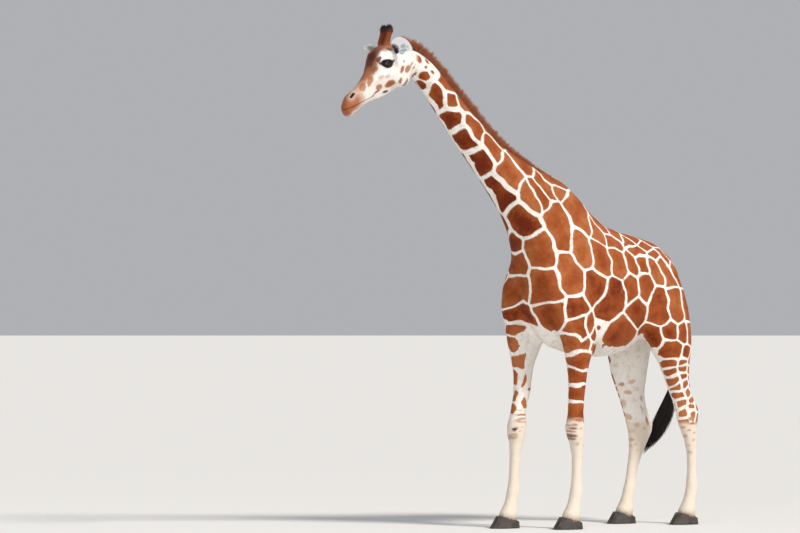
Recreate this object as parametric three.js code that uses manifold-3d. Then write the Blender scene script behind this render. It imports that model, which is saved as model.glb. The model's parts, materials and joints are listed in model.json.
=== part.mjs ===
// Reticulated giraffe, an adult female in mid stride, as a still life-size model.
// The animal faces -X, its left side is -Y, and Z is up. Every size is in millimetres.
// The flesh is lofted in masses, joined into one body, and parted with thin cuts into its named parts.
import * as THREE from "three";
import { mergeVertices } from "three/addons/utils/BufferGeometryUtils.js";
import Module from "manifold-3d";

const wasm = await Module();
wasm.setup();

// ---- Driving dimensions ----
const GAP = 0.3; // clearance between neighbouring parts
const LEFT = -1; // side factors: the left side is at negative Y
const RIGHT = 1;
const EYE_RADIUS = 37;
const EYE = { x: -2082, y: 86, z: 3515 };
// The root of a horn on the skull, its size, and how far its tip leans aft and towards its fellow.
const OSSICONE = { x: -2056, y: 40, z: 3630, radius: 24, height: 140, lean: 34, inward: 4.5 };
const OSSICONE_HAIR = 40; // how far the tip hair stands above the horn
const EAR_ROOT = { x: -2018, y: 90, z: 3622 };
const EAR_WIDTHS = [30, 48, 66, 75, 75, 66, 48, 23, 0]; // half widths from root to tip
const EAR_THICKNESS = 9;
const EAR_CUP = 0.42; // depth of the hollow as a share of the half width
const MANE_HEIGHT = 82; // tips of the mane above the crest of the neck, at mid neck
const MANE_HALF_WIDTH = 17;
const MANE_ROOT_DEPTH = 22; // how deep the mane's lower edge runs below the crest before it is cut away
const HOOF = { length: 228, width: 164, heelBulb: 30, heelHeight: 54, toeHeight: 98, toeSlope: 0.3 };
const CLEFT = 5; // between the two claws of a foot
const HEEL_BEHIND_FETLOCK = 14;
const PASTERN_SLOPE = 52; // how far the crown of the hoof stands ahead of the fetlock
const FETLOCK_HEIGHT = 285;
const KNEE_HEIGHT = 780;
const FORE_TRACK = 196; // centre line of a foreleg from the middle plane
const HIND_TRACK = 190;

// Where the legs are parted from the trunk: a point of the plane, how steeply it rises, and how far the cut
// reaches ahead of the leg's axis and aft of it.
const FORE_ROOT = { y: 95, z: 1385, rise: 1.1, ahead: 250, aft: 150 };
const HIND_ROOT = { x: 200, z: 1300, rise: 0.583, ahead: 400, aft: 400 };
const ROOT_AXIS_HEIGHT = 1300; // where a leg's axis is read for that reach
const LEG_BOX = { ahead: 400, aft: 200, inner: 20 }; // reach of the lower cuts from the heel and middle plane

const COAT = "#a8521f"; // chestnut of the patches
const CREAM = "#efe6d6"; // pale legs and belly
const MANE_BROWN = "#8a4520";
const HORN_BLACK = "#1b1512";
const HOOF_BROWN = "#3d342c";

// Facets round each form.
const CORE_AROUND = 24;
const SKULL_AROUND = 18;
const LIMB_AROUND = 12;
const SMALL_AROUND = 10;
const EYE_AROUND = 14;
const EYE_RINGS = 9;

// ---- Lofting ----
// A closed body from rings that ride on two edge lines, a and b, with a half width across them.
// Each row is [ax, ay, az, bx, by, bz, halfWidth, widest, power]: "widest" is where between a (0) and b (1)
// the ring is broadest, and "power" makes it oval (2), boxier (over 2) or leaner (under 2).
function loft(rows, around, stepsPerRow, grow = 0) {
  const steps = (rows.length - 1) * stepsPerRow;
  const edgeA = new THREE.CatmullRomCurve3(rows.map((r) => new THREE.Vector3(r[0], r[1], r[2])));
  const edgeB = new THREE.CatmullRomCurve3(rows.map((r) => new THREE.Vector3(r[3], r[4], r[5])));
  const form = new THREE.CatmullRomCurve3(
    rows.map((r) => new THREE.Vector3(r[6], (r[7] ?? 0.5) * 100, (r[8] ?? 2) * 100)),
  );
  const shape = new THREE.SphereGeometry(1, around, steps);
  const place = shape.attributes.position;
  const point = new THREE.Vector3();
  for (let row = 0; row <= steps; row += 1) {
    const t = row / steps;
    const a = edgeA.getPoint(t);
    const b = edgeB.getPoint(t);
    const f = form.getPoint(t);
    const outward = new THREE.Vector3().subVectors(b, a).normalize().multiplyScalar(grow);
    a.sub(outward);
    b.add(outward);
    const halfWidth = Math.max(f.x, 0) + grow;
    const bias = Math.log(f.y / 100) / Math.log(0.5);
    const roundness = 2 / (f.z / 100);
    for (let column = 0; column <= around; column += 1) {
      const angle = ((column % around) / around) * 2 * Math.PI;
      const along = ((1 - Math.cos(angle)) / 2) ** bias;
      const across = Math.sign(Math.sin(angle)) * Math.abs(Math.sin(angle)) ** roundness;
      const atPole = row === 0 || row === steps;
      point.lerpVectors(a, b, atPole ? 0.5 : along);
      if (!atPole) point.y += halfWidth * across;
      place.setXYZ(row * (around + 1) + column, point.x, point.y, point.z);
    }
  }
  return solidOf(shape);
}

// Rings of the middle plane: [top x, top z, bottom x, bottom z, half width, widest, power].
function middleLoft(rows, around, stepsPerRow, grow) {
  const full = rows.map(([tx, tz, bx, bz, ...form]) => [bx, 0, bz, tx, 0, tz, ...form]);
  return loft(full, around, stepsPerRow, grow);
}

// Level rings of a limb: [z, front x, back x, centre y, half width, widest, power].
function limbLoft(rows, around, stepsPerRow, grow) {
  const full = rows.map(([z, front, back, y, ...form]) => [front, y, z, back, y, z, ...form]);
  return loft(full, around, stepsPerRow, grow);
}

// An oval mass, turned about Y by pitch degrees.
function mass(centre, size, pitch) {
  const shape = new THREE.SphereGeometry(1, SMALL_AROUND, Math.round(SMALL_AROUND * 0.7));
  shape.scale(size[0], size[1], size[2]);
  shape.rotateY((pitch * Math.PI) / 180);
  shape.translate(centre[0], centre[1], centre[2]);
  return solidOf(shape);
}

// A three.js geometry as a solid whose faces point out.
function solidOf(geometry) {
  const bare = geometry.clone();
  bare.deleteAttribute("normal");
  bare.deleteAttribute("uv");
  const merged = mergeVertices(bare, 1e-3);
  const triVerts = new Uint32Array(merged.index.array);
  const corners = merged.attributes.position;
  const [p, q, r] = [new THREE.Vector3(), new THREE.Vector3(), new THREE.Vector3()];
  let volume = 0;
  for (let i = 0; i < triVerts.length; i += 3) {
    p.fromBufferAttribute(corners, triVerts[i]);
    q.fromBufferAttribute(corners, triVerts[i + 1]);
    r.fromBufferAttribute(corners, triVerts[i + 2]);
    volume += p.dot(q.cross(r));
  }
  if (volume < 0) {
    for (let i = 0; i < triVerts.length; i += 3) {
      [triVerts[i], triVerts[i + 1]] = [triVerts[i + 1], triVerts[i]];
    }
  }
  return new wasm.Manifold(new wasm.Mesh({ numProp: 3, vertProperties: corners.array, triVerts }));
}

// ---- Parting ----
// A large block whose +Z face lies on the plane through a point, with that face's normal as given.
const BLOCK = 3000;
function halfSpace(point, normal, offset) {
  const block = new THREE.BoxGeometry(2 * BLOCK, 2 * BLOCK, 2 * BLOCK);
  block.translate(0, 0, -BLOCK + offset);
  const turn = new THREE.Quaternion().setFromUnitVectors(
    new THREE.Vector3(0, 0, 1),
    new THREE.Vector3(...normal).normalize(),
  );
  block.applyQuaternion(turn);
  block.translate(...point);
  return solidOf(block);
}

// Splits a solid at a plane: the piece on the side the normal points to, then the other one.
function part(solid, point, normal) {
  const behind = halfSpace(point, normal, GAP / 2);
  const ahead = halfSpace(point, normal.map((n) => -n), GAP / 2);
  return [solid.subtract(behind), solid.subtract(ahead)];
}

// Takes a region out of a solid: the piece inside it, then the rest. The region is a list of planes, each
// [point, normal pointing out of the region], so the region is the space behind all of them.
function carve(solid, planes) {
  let inside = solid;
  let region = null;
  for (const [point, normal] of planes) {
    inside = inside.intersect(halfSpace(point, normal, -GAP / 2));
    const grown = halfSpace(point, normal, GAP / 2);
    region = region ? region.intersect(grown) : grown;
  }
  return [inside, solid.subtract(region)];
}

// ---- Trunk and neck ----
// Rings run from the buttocks along the barrel, fan round the breast and climb the neck.
function core(grow) {
  const rows = [
    [752, 1800, 752, 1780, 0, 0.5, 2],
    [722, 1972, 744, 1650, 104, 0.5, 2],
    [632, 2126, 640, 1590, 188, 0.54, 2.1],
    [495, 2222, 500, 1530, 232, 0.54, 2.1],
    [330, 2270, 330, 1425, 250, 0.5, 2.1],
    [150, 2308, 150, 1345, 266, 0.45, 2.1],
    [-10, 2358, -10, 1318, 278, 0.43, 2.1],
    [-140, 2455, -160, 1326, 282, 0.44, 2],
    [-262, 2578, -330, 1348, 274, 0.48, 1.9],
    [-372, 2672, -510, 1398, 262, 0.5, 1.8],
    [-445, 2706, -645, 1535, 246, 0.5, 1.8],
    [-508, 2730, -735, 1700, 232, 0.49, 1.8],
    [-570, 2752, -775, 1900, 214, 0.48, 1.8],
    [-634, 2776, -796, 2080, 192, 0.46, 1.8],
    [-706, 2806, -842, 2238, 168, 0.47, 1.9],
    [-790, 2848, -925, 2392, 150, 0.48, 1.9],
    [-885, 2896, -1032, 2530, 133, 0.5, 2],
    [-985, 2946, -1158, 2686, 116, 0.5, 2],
    [-1205, 3146, -1374, 2938, 102, 0.5, 2],
    [-1423, 3352, -1568, 3180, 92, 0.5, 2],
    [-1609, 3538, -1700, 3352, 88, 0.5, 2],
    [-1720, 3612, -1790, 3428, 86, 0.5, 2],
    [-1800, 3640, -1850, 3440, 82, 0.5, 2],
    [-1870, 3600, -1890, 3480, 50, 0.5, 2],
    [-1900, 3545, -1900, 3540, 0, 0.5, 2],
  ];
  return middleLoft(rows, CORE_AROUND, 1, grow);
}

// ---- Head ----
function skull(grow) {
  const rows = [
    [-1770, 3540, -1770, 3530, 0, 0.5, 2],
    [-1792, 3628, -1782, 3445, 62, 0.55, 2],
    [-1865, 3668, -1836, 3394, 90, 0.58, 2],
    [-1955, 3680, -1912, 3346, 102, 0.62, 2.1],
    [-2040, 3674, -1990, 3296, 106, 0.68, 2.2],
    [-2105, 3646, -2052, 3262, 109, 0.72, 2.2],
    [-2148, 3598, -2106, 3242, 108, 0.74, 2.2],
    [-2172, 3532, -2150, 3228, 88, 0.7, 2.2],
    [-2200, 3466, -2190, 3216, 70, 0.62, 2.2],
    [-2246, 3398, -2226, 3202, 60, 0.58, 2.2],
    [-2292, 3344, -2266, 3172, 56, 0.55, 2.2],
    [-2348, 3300, -2312, 3140, 58, 0.52, 2.3],
    [-2388, 3262, -2352, 3120, 56, 0.5, 2.3],
    [-2408, 3210, -2392, 3114, 45, 0.5, 2.2],
    [-2414, 3165, -2412, 3140, 0, 0.5, 2],
  ];
  return middleLoft(rows, SKULL_AROUND, 1, grow);
}

// The bony rim over each eye, the cheek bone under it and the cheek muscle.
function faceMasses() {
  const pieces = [];
  for (const side of [LEFT, RIGHT]) {
    pieces.push(mass([-2090, side * 72, 3566], [64, 44, 32], 35));
    pieces.push(mass([-2066, side * 68, 3480], [72, 36, 28], 30));
    pieces.push(mass([-1945, side * 44, 3430], [110, 50, 86], 20));
  }
  return pieces;
}

// ---- Legs ----
// A leg's own shape about its axis, from the elbow or the thigh down to the crown of the hoof:
// [z, reach forward, reach aft, half width].
const FORE_SHAPE = [
  [1300, 106, 104, 86],
  [1190, 84, 80, 68],
  [1040, 74, 70, 60],
  [905, 67, 66, 55],
  [840, 77, 70, 63],
  [KNEE_HEIGHT, 85, 77, 68],
  [715, 79, 72, 63],
  [655, 61, 62, 51],
  [560, 49, 48, 41],
  [430, 43, 44, 37],
  [345, 46, 52, 40],
  [FETLOCK_HEIGHT, 54, 62, 47],
];
const HIND_SHAPE = [
  [390, 148, 148, 92],
  [270, 117, 118, 74],
  [160, 104, 104, 63],
  [60, 110, 110, 60],
  [5, 110, 118, 60],
  [-60, 100, 102, 56],
  [-125, 84, 82, 50],
  [-215, 58, 60, 44],
  [-330, 45, 46, 38],
  [-450, 40, 44, 35],
];
const FOOT_SHAPE = [
  [225, 50, 58, 46, 0.32],
  [172, 56, 60, 52, 0.6],
  [122, 72, 72, 66, 0.85],
  [84, 84, 74, 72, 1],
  [48, 80, 60, 66, 1.1],
  [40, 0, 0, 0, 1.1],
];

// The axis of a leg runs through [z, x] knots, and is read at any height.
function axisAt(knots, z) {
  let k = 0;
  while (k < knots.length - 2 && z < knots[k + 1][0]) k += 1;
  const [z0, x0] = knots[k];
  const [z1, x1] = knots[k + 1];
  return x0 + ((z - z0) / (z1 - z0)) * (x1 - x0);
}

// The rings below the fetlock, which lean forward to the hoof.
function footRows(fetlockX, y) {
  return FOOT_SHAPE.map(([z, front, back, width, forward]) => {
    const x = fetlockX - forward * PASTERN_SLOPE;
    return [z, x - front, x + back, y, width, 0.5, 2.1];
  });
}

function foreleg({ side, shoulder, knots }) {
  const rows = shoulder.map(([z, front, back, y, width]) => [z, front, back, side * y, width, 0.5, 2.1]);
  for (const [z, front, back, width] of FORE_SHAPE) {
    const x = axisAt(knots, z);
    rows.push([z, x - front, x + back, side * FORE_TRACK, width, 0.48, 2.1]);
  }
  rows.push(...footRows(knots.at(-1)[1], side * FORE_TRACK));
  return limbLoft(rows, LIMB_AROUND, 1);
}

function hindleg({ side, thigh, knots, hock, fullness }) {
  const rows = thigh.map(([z, front, back, y, width]) => [z, front, back, side * y, width, 0.5, 2.1]);
  for (const [above, front, back, width] of HIND_SHAPE) {
    const x = axisAt(knots, hock + above);
    rows.push([hock + above, x - front * fullness, x + back * fullness, side * HIND_TRACK, width, 0.5, 2]);
  }
  const fetlockX = knots.at(-1)[1];
  rows.push([FETLOCK_HEIGHT, fetlockX - 52, fetlockX + 58, side * HIND_TRACK, 45, 0.5, 2]);
  rows.push(...footRows(fetlockX, side * HIND_TRACK));
  return limbLoft(rows, LIMB_AROUND, 1);
}

// The right foreleg and the right hind leg are the ones that have stepped forward.
const LEGS = {
  foreleg_left: {
    side: LEFT,
    shoulder: [
      [2480, -400, -396, 110, 0],
      [2420, -465, -310, 112, 46],
      [2250, -575, -232, 136, 84],
      [2050, -648, -192, 160, 106],
      [1860, -682, -166, 178, 114],
      [1700, -655, -156, 186, 114],
      [1560, -588, -166, 192, 106],
      [1430, -516, -214, 196, 96],
    ],
    knots: [
      [1430, -364],
      [1200, -369],
      [900, -391],
      [KNEE_HEIGHT, -393],
      [560, -376],
      [FETLOCK_HEIGHT, -390],
    ],
  },
  foreleg_right: {
    side: RIGHT,
    shoulder: [
      [2480, -440, -436, 110, 0],
      [2420, -510, -355, 112, 46],
      [2250, -640, -300, 136, 84],
      [2050, -748, -270, 162, 106],
      [1860, -806, -262, 182, 116],
      [1700, -804, -272, 192, 116],
      [1560, -774, -322, 197, 108],
      [1430, -744, -416, 198, 98],
    ],
    knots: [
      [1430, -598],
      [1200, -602],
      [1040, -614],
      [900, -650],
      [KNEE_HEIGHT, -660],
      [515, -684],
      [FETLOCK_HEIGHT, -702],
    ],
  },
  hindleg_left: {
    side: LEFT,
    thigh: [
      [2190, 470, 474, 96, 0],
      [2120, 375, 590, 100, 52],
      [1980, 300, 668, 128, 92],
      [1840, 276, 712, 148, 112],
      [1700, 270, 742, 162, 124],
      [1550, 284, 758, 172, 128],
      [1410, 345, 758, 182, 116],
    ],
    hock: 885,
    fullness: 1,
    knots: [
      [1300, 581],
      [1190, 602],
      [1074, 632],
      [955, 692],
      [890, 712],
      [780, 728],
      [670, 750],
      [550, 765],
      [FETLOCK_HEIGHT, 762],
    ],
  },
  hindleg_right: {
    side: RIGHT,
    thigh: [
      [2190, 450, 454, 96, 0],
      [2120, 350, 570, 100, 52],
      [1980, 262, 655, 128, 92],
      [1840, 220, 694, 148, 112],
      [1700, 190, 712, 162, 124],
      [1550, 180, 702, 172, 128],
      [1410, 212, 648, 182, 116],
    ],
    hock: 780,
    fullness: 1.15, // it bears the weight, bent at the hock
    knots: [
      [1300, 424],
      [1190, 436],
      [1020, 457],
      [900, 495],
      [805, 538],
      [735, 549],
      [680, 542],
      [590, 514],
      [500, 489],
      [420, 464],
      [FETLOCK_HEIGHT, 438],
    ],
  },
};

// ---- Hooves ----
// One claw, with a flat sole and a flat crown that rises from heel to toe.
function claw(heelX, centreY, outward) {
  const { length, width, heelBulb, heelHeight, toeHeight, toeSlope } = HOOF;
  const half = width / 2;
  const outline = new THREE.Shape();
  outline.moveTo(0, CLEFT / 2);
  outline.bezierCurveTo(heelBulb, half * 0.75, heelBulb / 3, half * 0.95, -length * 0.24, half);
  outline.bezierCurveTo(-length * 0.55, half * 1.04, -length * 0.9, half * 0.72, -length, half * 0.26);
  outline.quadraticCurveTo(-length * 0.99, half * 0.1, -length * 0.9, CLEFT / 2);
  const block = new THREE.ExtrudeGeometry(outline, {
    depth: 1,
    steps: 1,
    bevelEnabled: false,
    curveSegments: 4,
  });
  const place = block.attributes.position;
  for (let i = 0; i < place.count; i += 1) {
    const up = place.getZ(i);
    const toward = -place.getX(i) / length;
    const x = heelX + place.getX(i) * (1 - toeSlope * up);
    const y = centreY + outward * place.getY(i) * (1 - 0.1 * up);
    place.setXYZ(i, x, y, up * (heelHeight + (toeHeight - heelHeight) * toward));
  }
  return solidOf(block);
}

// The crown of a foot is the plane that its claws' tops lie in.
function crownPlane(heelX, centreY) {
  const { length, heelHeight, toeHeight, toeSlope } = HOOF;
  const run = length * (1 - toeSlope);
  return [
    [heelX, centreY, heelHeight + GAP],
    [toeHeight - heelHeight, 0, run],
  ];
}

// ---- Ears, ossicones, mane and tail ----
// A leaf-shaped ear, cupped across, that runs from its root through a middle point to its tip. "open" is the
// way its hollow side faces.
function ear(root, middle, tip, open) {
  const spine = new THREE.CatmullRomCurve3([root, middle, tip].map((p) => new THREE.Vector3(...p)));
  const around = LIMB_AROUND;
  const steps = EAR_WIDTHS.length + 1;
  const shape = new THREE.SphereGeometry(1, around, steps);
  const place = shape.attributes.position;
  const facing = new THREE.Vector3(...open).normalize();
  for (let row = 0; row <= steps; row += 1) {
    const t = Math.max(0, (row - 1) / (steps - 1));
    const width = row === 0 ? 0 : (EAR_WIDTHS[row - 1] ?? 0);
    const centre = spine.getPoint(Math.min(t, 1));
    const ahead = spine.getTangent(Math.min(t, 1));
    const across = new THREE.Vector3().crossVectors(ahead, facing).normalize();
    const out = new THREE.Vector3().crossVectors(across, ahead).normalize();
    for (let column = 0; column <= around; column += 1) {
      const angle = ((column % around) / around) * 2 * Math.PI;
      const side = Math.cos(angle);
      const cup = (side * side - 0.4) * width * EAR_CUP;
      const thick = Math.sin(angle) * EAR_THICKNESS * Math.min(1, width / 20) * 0.65;
      const p = centre.clone();
      p.addScaledVector(across, side * width);
      p.addScaledVector(out, cup + thick);
      place.setXYZ(row * (around + 1) + column, p.x, p.y, p.z);
    }
  }
  return solidOf(shape);
}

function eyeball(side, radius) {
  const ball = new THREE.SphereGeometry(radius, EYE_AROUND, EYE_RINGS);
  ball.rotateX(Math.PI / 2);
  ball.translate(EYE.x, side * EYE.y, EYE.z);
  return solidOf(ball);
}

// A horn covered in skin, and the tuft of hair that stands on it.
function ossicone(side, grow = 0) {
  const { x, y, z, radius, height, lean, inward } = OSSICONE;
  const rows = [
    [z - 40, 0, 0, 0],
    [z - 36, radius * 0.8, -6, -0.6],
    [z, radius * 1.3, 0, 0],
    [z + height * 0.25, radius * 1.04, lean * 0.2, 0.3],
    [z + height * 0.6, radius * 0.9, lean * 0.6, 0.7],
    [z + height * 0.9, radius * 0.98, lean, 0.95],
    [z + height, radius * 0.7, lean, 1],
    [z + height + 4, 0, lean, 1],
  ];
  const ringed = rows.map(([at, r, back, turned]) => {
    return [at, x + back - r, x + back + r, side * (y - turned * inward), r];
  });
  return limbLoft(ringed, SMALL_AROUND, 1, grow);
}

function ossiconeTuft(side) {
  const { x, y, z, radius, height, lean, inward } = OSSICONE;
  const top = z + height;
  const centreY = side * (y - inward);
  const rows = [
    [top - 34, radius * 0.7],
    [top - 24, radius * 1.2],
    [top, radius * 1.24],
    [top + OSSICONE_HAIR * 0.6, radius * 0.95],
    [top + OSSICONE_HAIR, radius * 0.5],
    [top + OSSICONE_HAIR + 2, 0],
  ];
  const ringed = rows.map(([at, r]) => [at, x + lean - r, x + lean + r, centreY, r]);
  ringed.unshift([top - 36, x + lean, x + lean, centreY, 0]);
  return limbLoft(ringed, SMALL_AROUND, 1);
}

// The mane stands on the crest from between the ears down to the withers.
function mane() {
  const crest = [
    [-1922, 3652, 0],
    [-1900, 3662, 0.62],
    [-1830, 3640, 1.08],
    [-1720, 3602, 1.12],
    [-1605, 3528, 1],
    [-1423, 3346, 1],
    [-1205, 3140, 1],
    [-985, 2940, 0.9],
    [-790, 2842, 0.62],
    [-634, 2770, 0.36],
    [-500, 2720, 0.12],
    [-440, 2700, 0],
  ];
  const rows = crest.map(([x, z, rise], i) => {
    const [x0, z0] = crest[Math.max(0, i - 1)];
    const [x1, z1] = crest[Math.min(crest.length - 1, i + 1)];
    const run = Math.hypot(x1 - x0, z1 - z0);
    const upX = -(z1 - z0) / run;
    const upZ = (x1 - x0) / run;
    const reach = rise * MANE_HEIGHT;
    const sunk = rise > 0 ? MANE_ROOT_DEPTH : 0;
    return [
      x + upX * reach,
      z + upZ * reach,
      x - upX * sunk,
      z - upZ * sunk,
      rise > 0 ? MANE_HALF_WIDTH * Math.min(1, 0.4 + rise) : 0,
      0.4,
      2,
    ];
  });
  return middleLoft(rows, 8, 2);
}

// The tail hangs from the croup and swings past the right hock, with a long tassel.
const TAIL = [
  [2062, 648, 0, 0],
  [2050, 654, 0, 26],
  [1990, 728, 4, 32],
  [1860, 800, 16, 27],
  [1650, 842, 40, 22],
  [1450, 862, 68, 18],
  [1250, 868, 104, 16],
  [1180, 868, 118, 14],
  [1170, 868, 120, 0],
];
const TASSEL = [
  [1235, 868, 106, 17],
  [1180, 868, 120, 32],
  [1060, 862, 152, 52],
  [920, 838, 196, 70],
  [780, 800, 244, 74],
  [650, 752, 290, 56],
  [555, 704, 322, 28],
  [505, 672, 336, 0],
];

function hangingLoft(rows, grow = 0) {
  const ringed = rows.map(([z, x, y, r]) => [z, x - r, x + r, y, r]);
  return limbLoft(ringed, SMALL_AROUND, 2, grow);
}

// ---- Joining the flesh ----
const shell = [core(0), skull(0), ...faceMasses()];
let flesh = shell.reduce((whole, piece) => whole.add(piece));
for (const leg of Object.values(LEGS)) {
  flesh = flesh.add(leg.shoulder ? foreleg(leg) : hindleg(leg));
}
for (const side of [LEFT, RIGHT]) {
  flesh = flesh.subtract(eyeball(side, EYE_RADIUS + GAP));
}

const solids = {};
const colours = {};
function keep(name, solid, colour) {
  solids[name] = solid;
  colours[name] = colour;
}

// ---- Feet and legs ----
for (const [name, leg] of Object.entries(LEGS)) {
  const track = leg.side * (leg.shoulder ? FORE_TRACK : HIND_TRACK);
  const heelX = leg.knots.at(-1)[1] + HEEL_BEHIND_FETLOCK;
  const claws = { inner: -leg.side, outer: leg.side };
  for (const [which, outward] of Object.entries(claws)) {
    keep(name.replace("leg", "hoof") + "_" + which, claw(heelX, track, outward), HOOF_BROWN);
  }

  const innerFace = [[0, leg.side * LEG_BOX.inner, 0], [0, -leg.side, 0]];
  const lowerFaces = [
    [[heelX - LEG_BOX.ahead, 0, 0], [-1, 0, 0]],
    [[heelX + LEG_BOX.aft, 0, 0], [1, 0, 0]],
    innerFace,
  ];
  flesh = carve(flesh, [crownPlane(heelX, track), ...lowerFaces])[1];

  const jointHeight = leg.shoulder ? KNEE_HEIGHT : leg.hock;
  const [lower, above] = carve(flesh, [[[0, 0, jointHeight], [0, 0, 1]], ...lowerFaces]);
  keep(name.replace("leg", "leg_lower"), lower, CREAM);

  const rootX = axisAt(leg.knots, ROOT_AXIS_HEIGHT);
  const root = leg.shoulder ? FORE_ROOT : HIND_ROOT;
  const rootPlane = leg.shoulder
    ? [[rootX, leg.side * root.y, root.z], [0, -leg.side * root.rise, 1]]
    : [[root.x, 0, root.z], [-root.rise, 0, 1]];
  const [upper, rest] = carve(above, [
    rootPlane,
    [[rootX - root.ahead, 0, 0], [-1, 0, 0]],
    [[rootX + root.aft, 0, 0], [1, 0, 0]],
    innerFace,
  ]);
  keep(name.replace("leg", "leg_upper"), upper, COAT);
  flesh = rest;
}

// ---- Head, neck and trunk ----
const [trunk, wholeNeck] = part(flesh, [-640, 0, 2420], [0.72, 0, -0.35]);
const [neckLower, fromMidNeck] = part(wholeNeck, [-1150, 0, 2890], [0.72, 0, -0.66]);
const [neckUpper, wholeHead] = part(fromMidNeck, [-1800, 0, 3500], [0.94, 0, -0.18]);
const [head, jaw] = part(wholeHead, [-2240, 0, 3236], [-0.4, 0, 0.92]);
keep("trunk", trunk, COAT);
keep("neck_lower", neckLower, COAT);
keep("neck_upper", neckUpper, COAT);
keep("head", head, COAT);
keep("jaw", jaw, CREAM);

const skullGrown = skull(GAP);
const coreGrown = core(GAP);
const sides = { left: LEFT, right: RIGHT };
for (const [word, side] of Object.entries(sides)) {
  keep("eye_" + word, eyeball(side, EYE_RADIUS), HORN_BLACK);
  keep("ossicone_" + word, ossicone(side).subtract(skullGrown), MANE_BROWN);
  keep("ossicone_tuft_" + word, ossiconeTuft(side).subtract(ossicone(side, GAP)), HORN_BLACK);
}

// The left ear is turned back and out, and the right one stands out sideways.
const leftRoot = [EAR_ROOT.x, -EAR_ROOT.y, EAR_ROOT.z];
const rightRoot = [EAR_ROOT.x, EAR_ROOT.y, EAR_ROOT.z];
const earLeft = ear(leftRoot, [-1990, -172, 3652], [-1928, -262, 3592], [-0.6, -0.45, -0.3]);
const earRight = ear(rightRoot, [-2036, 180, 3650], [-2064, 282, 3654], [-0.6, 0.15, -0.75]);
keep("ear_left", earLeft.subtract(skullGrown), CREAM);
keep("ear_right", earRight.subtract(skullGrown), CREAM);

keep("mane", mane().subtract(coreGrown).subtract(skullGrown), MANE_BROWN);
keep("tail", hangingLoft(TAIL).subtract(coreGrown).subtract(hangingLoft(TASSEL, GAP)), COAT);
keep("tail_tuft", hangingLoft(TASSEL), HORN_BLACK);

// ---- The finished group ----
function meshOf(name, solid, colour) {
  const made = solid.getMesh();
  const geometry = new THREE.BufferGeometry();
  geometry.setAttribute("position", new THREE.BufferAttribute(made.vertProperties, made.numProp));
  geometry.setIndex(new THREE.BufferAttribute(made.triVerts, 1));
  geometry.computeVertexNormals();
  const gloss = name.startsWith("eye") ? 0.1 : 0.85;
  const mesh = new THREE.Mesh(
    geometry,
    new THREE.MeshStandardMaterial({ color: colour, roughness: gloss, metalness: 0 }),
  );
  mesh.name = name;
  return mesh;
}

const giraffe = new THREE.Group();
for (const [name, solid] of Object.entries(solids)) {
  giraffe.add(meshOf(name, solid, colours[name]));
}
// The origin is under the middle of the bounding box, on the ground.
const bounds = new THREE.Box3().setFromObject(giraffe);
const centre = bounds.getCenter(new THREE.Vector3());
giraffe.position.set(-centre.x, -centre.y, 0);

export default giraffe;
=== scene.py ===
# %% [markdown]
# # A reticulated giraffe in her coat
# A museum giraffe is a form with a skin over it. The solids give us the form: trunk, neck, head and legs,
# each a closed body of flat facets. Here we grow one smooth skin over the flesh, lay the net of cream lines
# and chestnut patches on it, and plant short hair, a mane and a tail tassel. First we load the solids.

# %% Load the solids
import json
import math

import bmesh
import bpy
import numpy as np
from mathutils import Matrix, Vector
from mathutils.bvhtree import BVHTree
from numpy.linalg import norm

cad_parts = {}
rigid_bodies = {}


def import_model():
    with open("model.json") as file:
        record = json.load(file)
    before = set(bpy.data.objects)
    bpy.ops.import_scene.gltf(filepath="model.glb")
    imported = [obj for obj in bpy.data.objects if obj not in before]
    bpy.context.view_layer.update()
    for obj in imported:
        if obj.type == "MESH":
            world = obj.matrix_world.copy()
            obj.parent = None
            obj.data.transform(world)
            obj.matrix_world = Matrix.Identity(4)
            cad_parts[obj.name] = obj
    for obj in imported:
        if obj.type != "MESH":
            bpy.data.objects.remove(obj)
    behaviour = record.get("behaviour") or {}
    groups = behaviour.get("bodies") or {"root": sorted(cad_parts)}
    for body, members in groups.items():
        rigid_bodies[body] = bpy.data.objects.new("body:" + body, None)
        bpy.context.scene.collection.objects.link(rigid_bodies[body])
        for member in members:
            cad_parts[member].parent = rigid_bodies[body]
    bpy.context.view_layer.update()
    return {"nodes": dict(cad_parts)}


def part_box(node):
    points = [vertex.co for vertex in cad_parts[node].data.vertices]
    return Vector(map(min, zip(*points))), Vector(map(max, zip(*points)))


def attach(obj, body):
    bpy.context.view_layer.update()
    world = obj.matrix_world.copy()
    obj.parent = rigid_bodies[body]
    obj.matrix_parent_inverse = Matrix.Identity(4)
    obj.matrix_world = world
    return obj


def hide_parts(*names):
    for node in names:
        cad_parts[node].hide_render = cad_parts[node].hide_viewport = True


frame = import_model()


# %% [markdown]
# Every place on the animal is given from one point on the ground, under the last ribs, in the middle plane:
# x runs aft, y to the animal's right and z up, in metres. We find it from the left eye, a small round solid
# whose place we know.

# %% Where the body is
EYE_IN_BODY = Vector((-2.082, -0.086, 3.515))
eye_low, eye_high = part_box("eye_left")
BODY_ORIGIN = (eye_low + eye_high) / 2 - EYE_IN_BODY
BODY_ORIGIN.z = 0
ORIGIN = np.array(BODY_ORIGIN)
SIDES = {"left": -1, "right": 1}
BOTH = (-1, 1)
rng = np.random.default_rng(38)
print("body origin:", [round(value, 4) for value in BODY_ORIGIN])

# %% [markdown]
# The camera is a long lens far away, a little below the middle of the trunk, ahead of the left shoulder.
# A long lens keeps the legs parallel, as a visitor with field glasses would see them.

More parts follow.
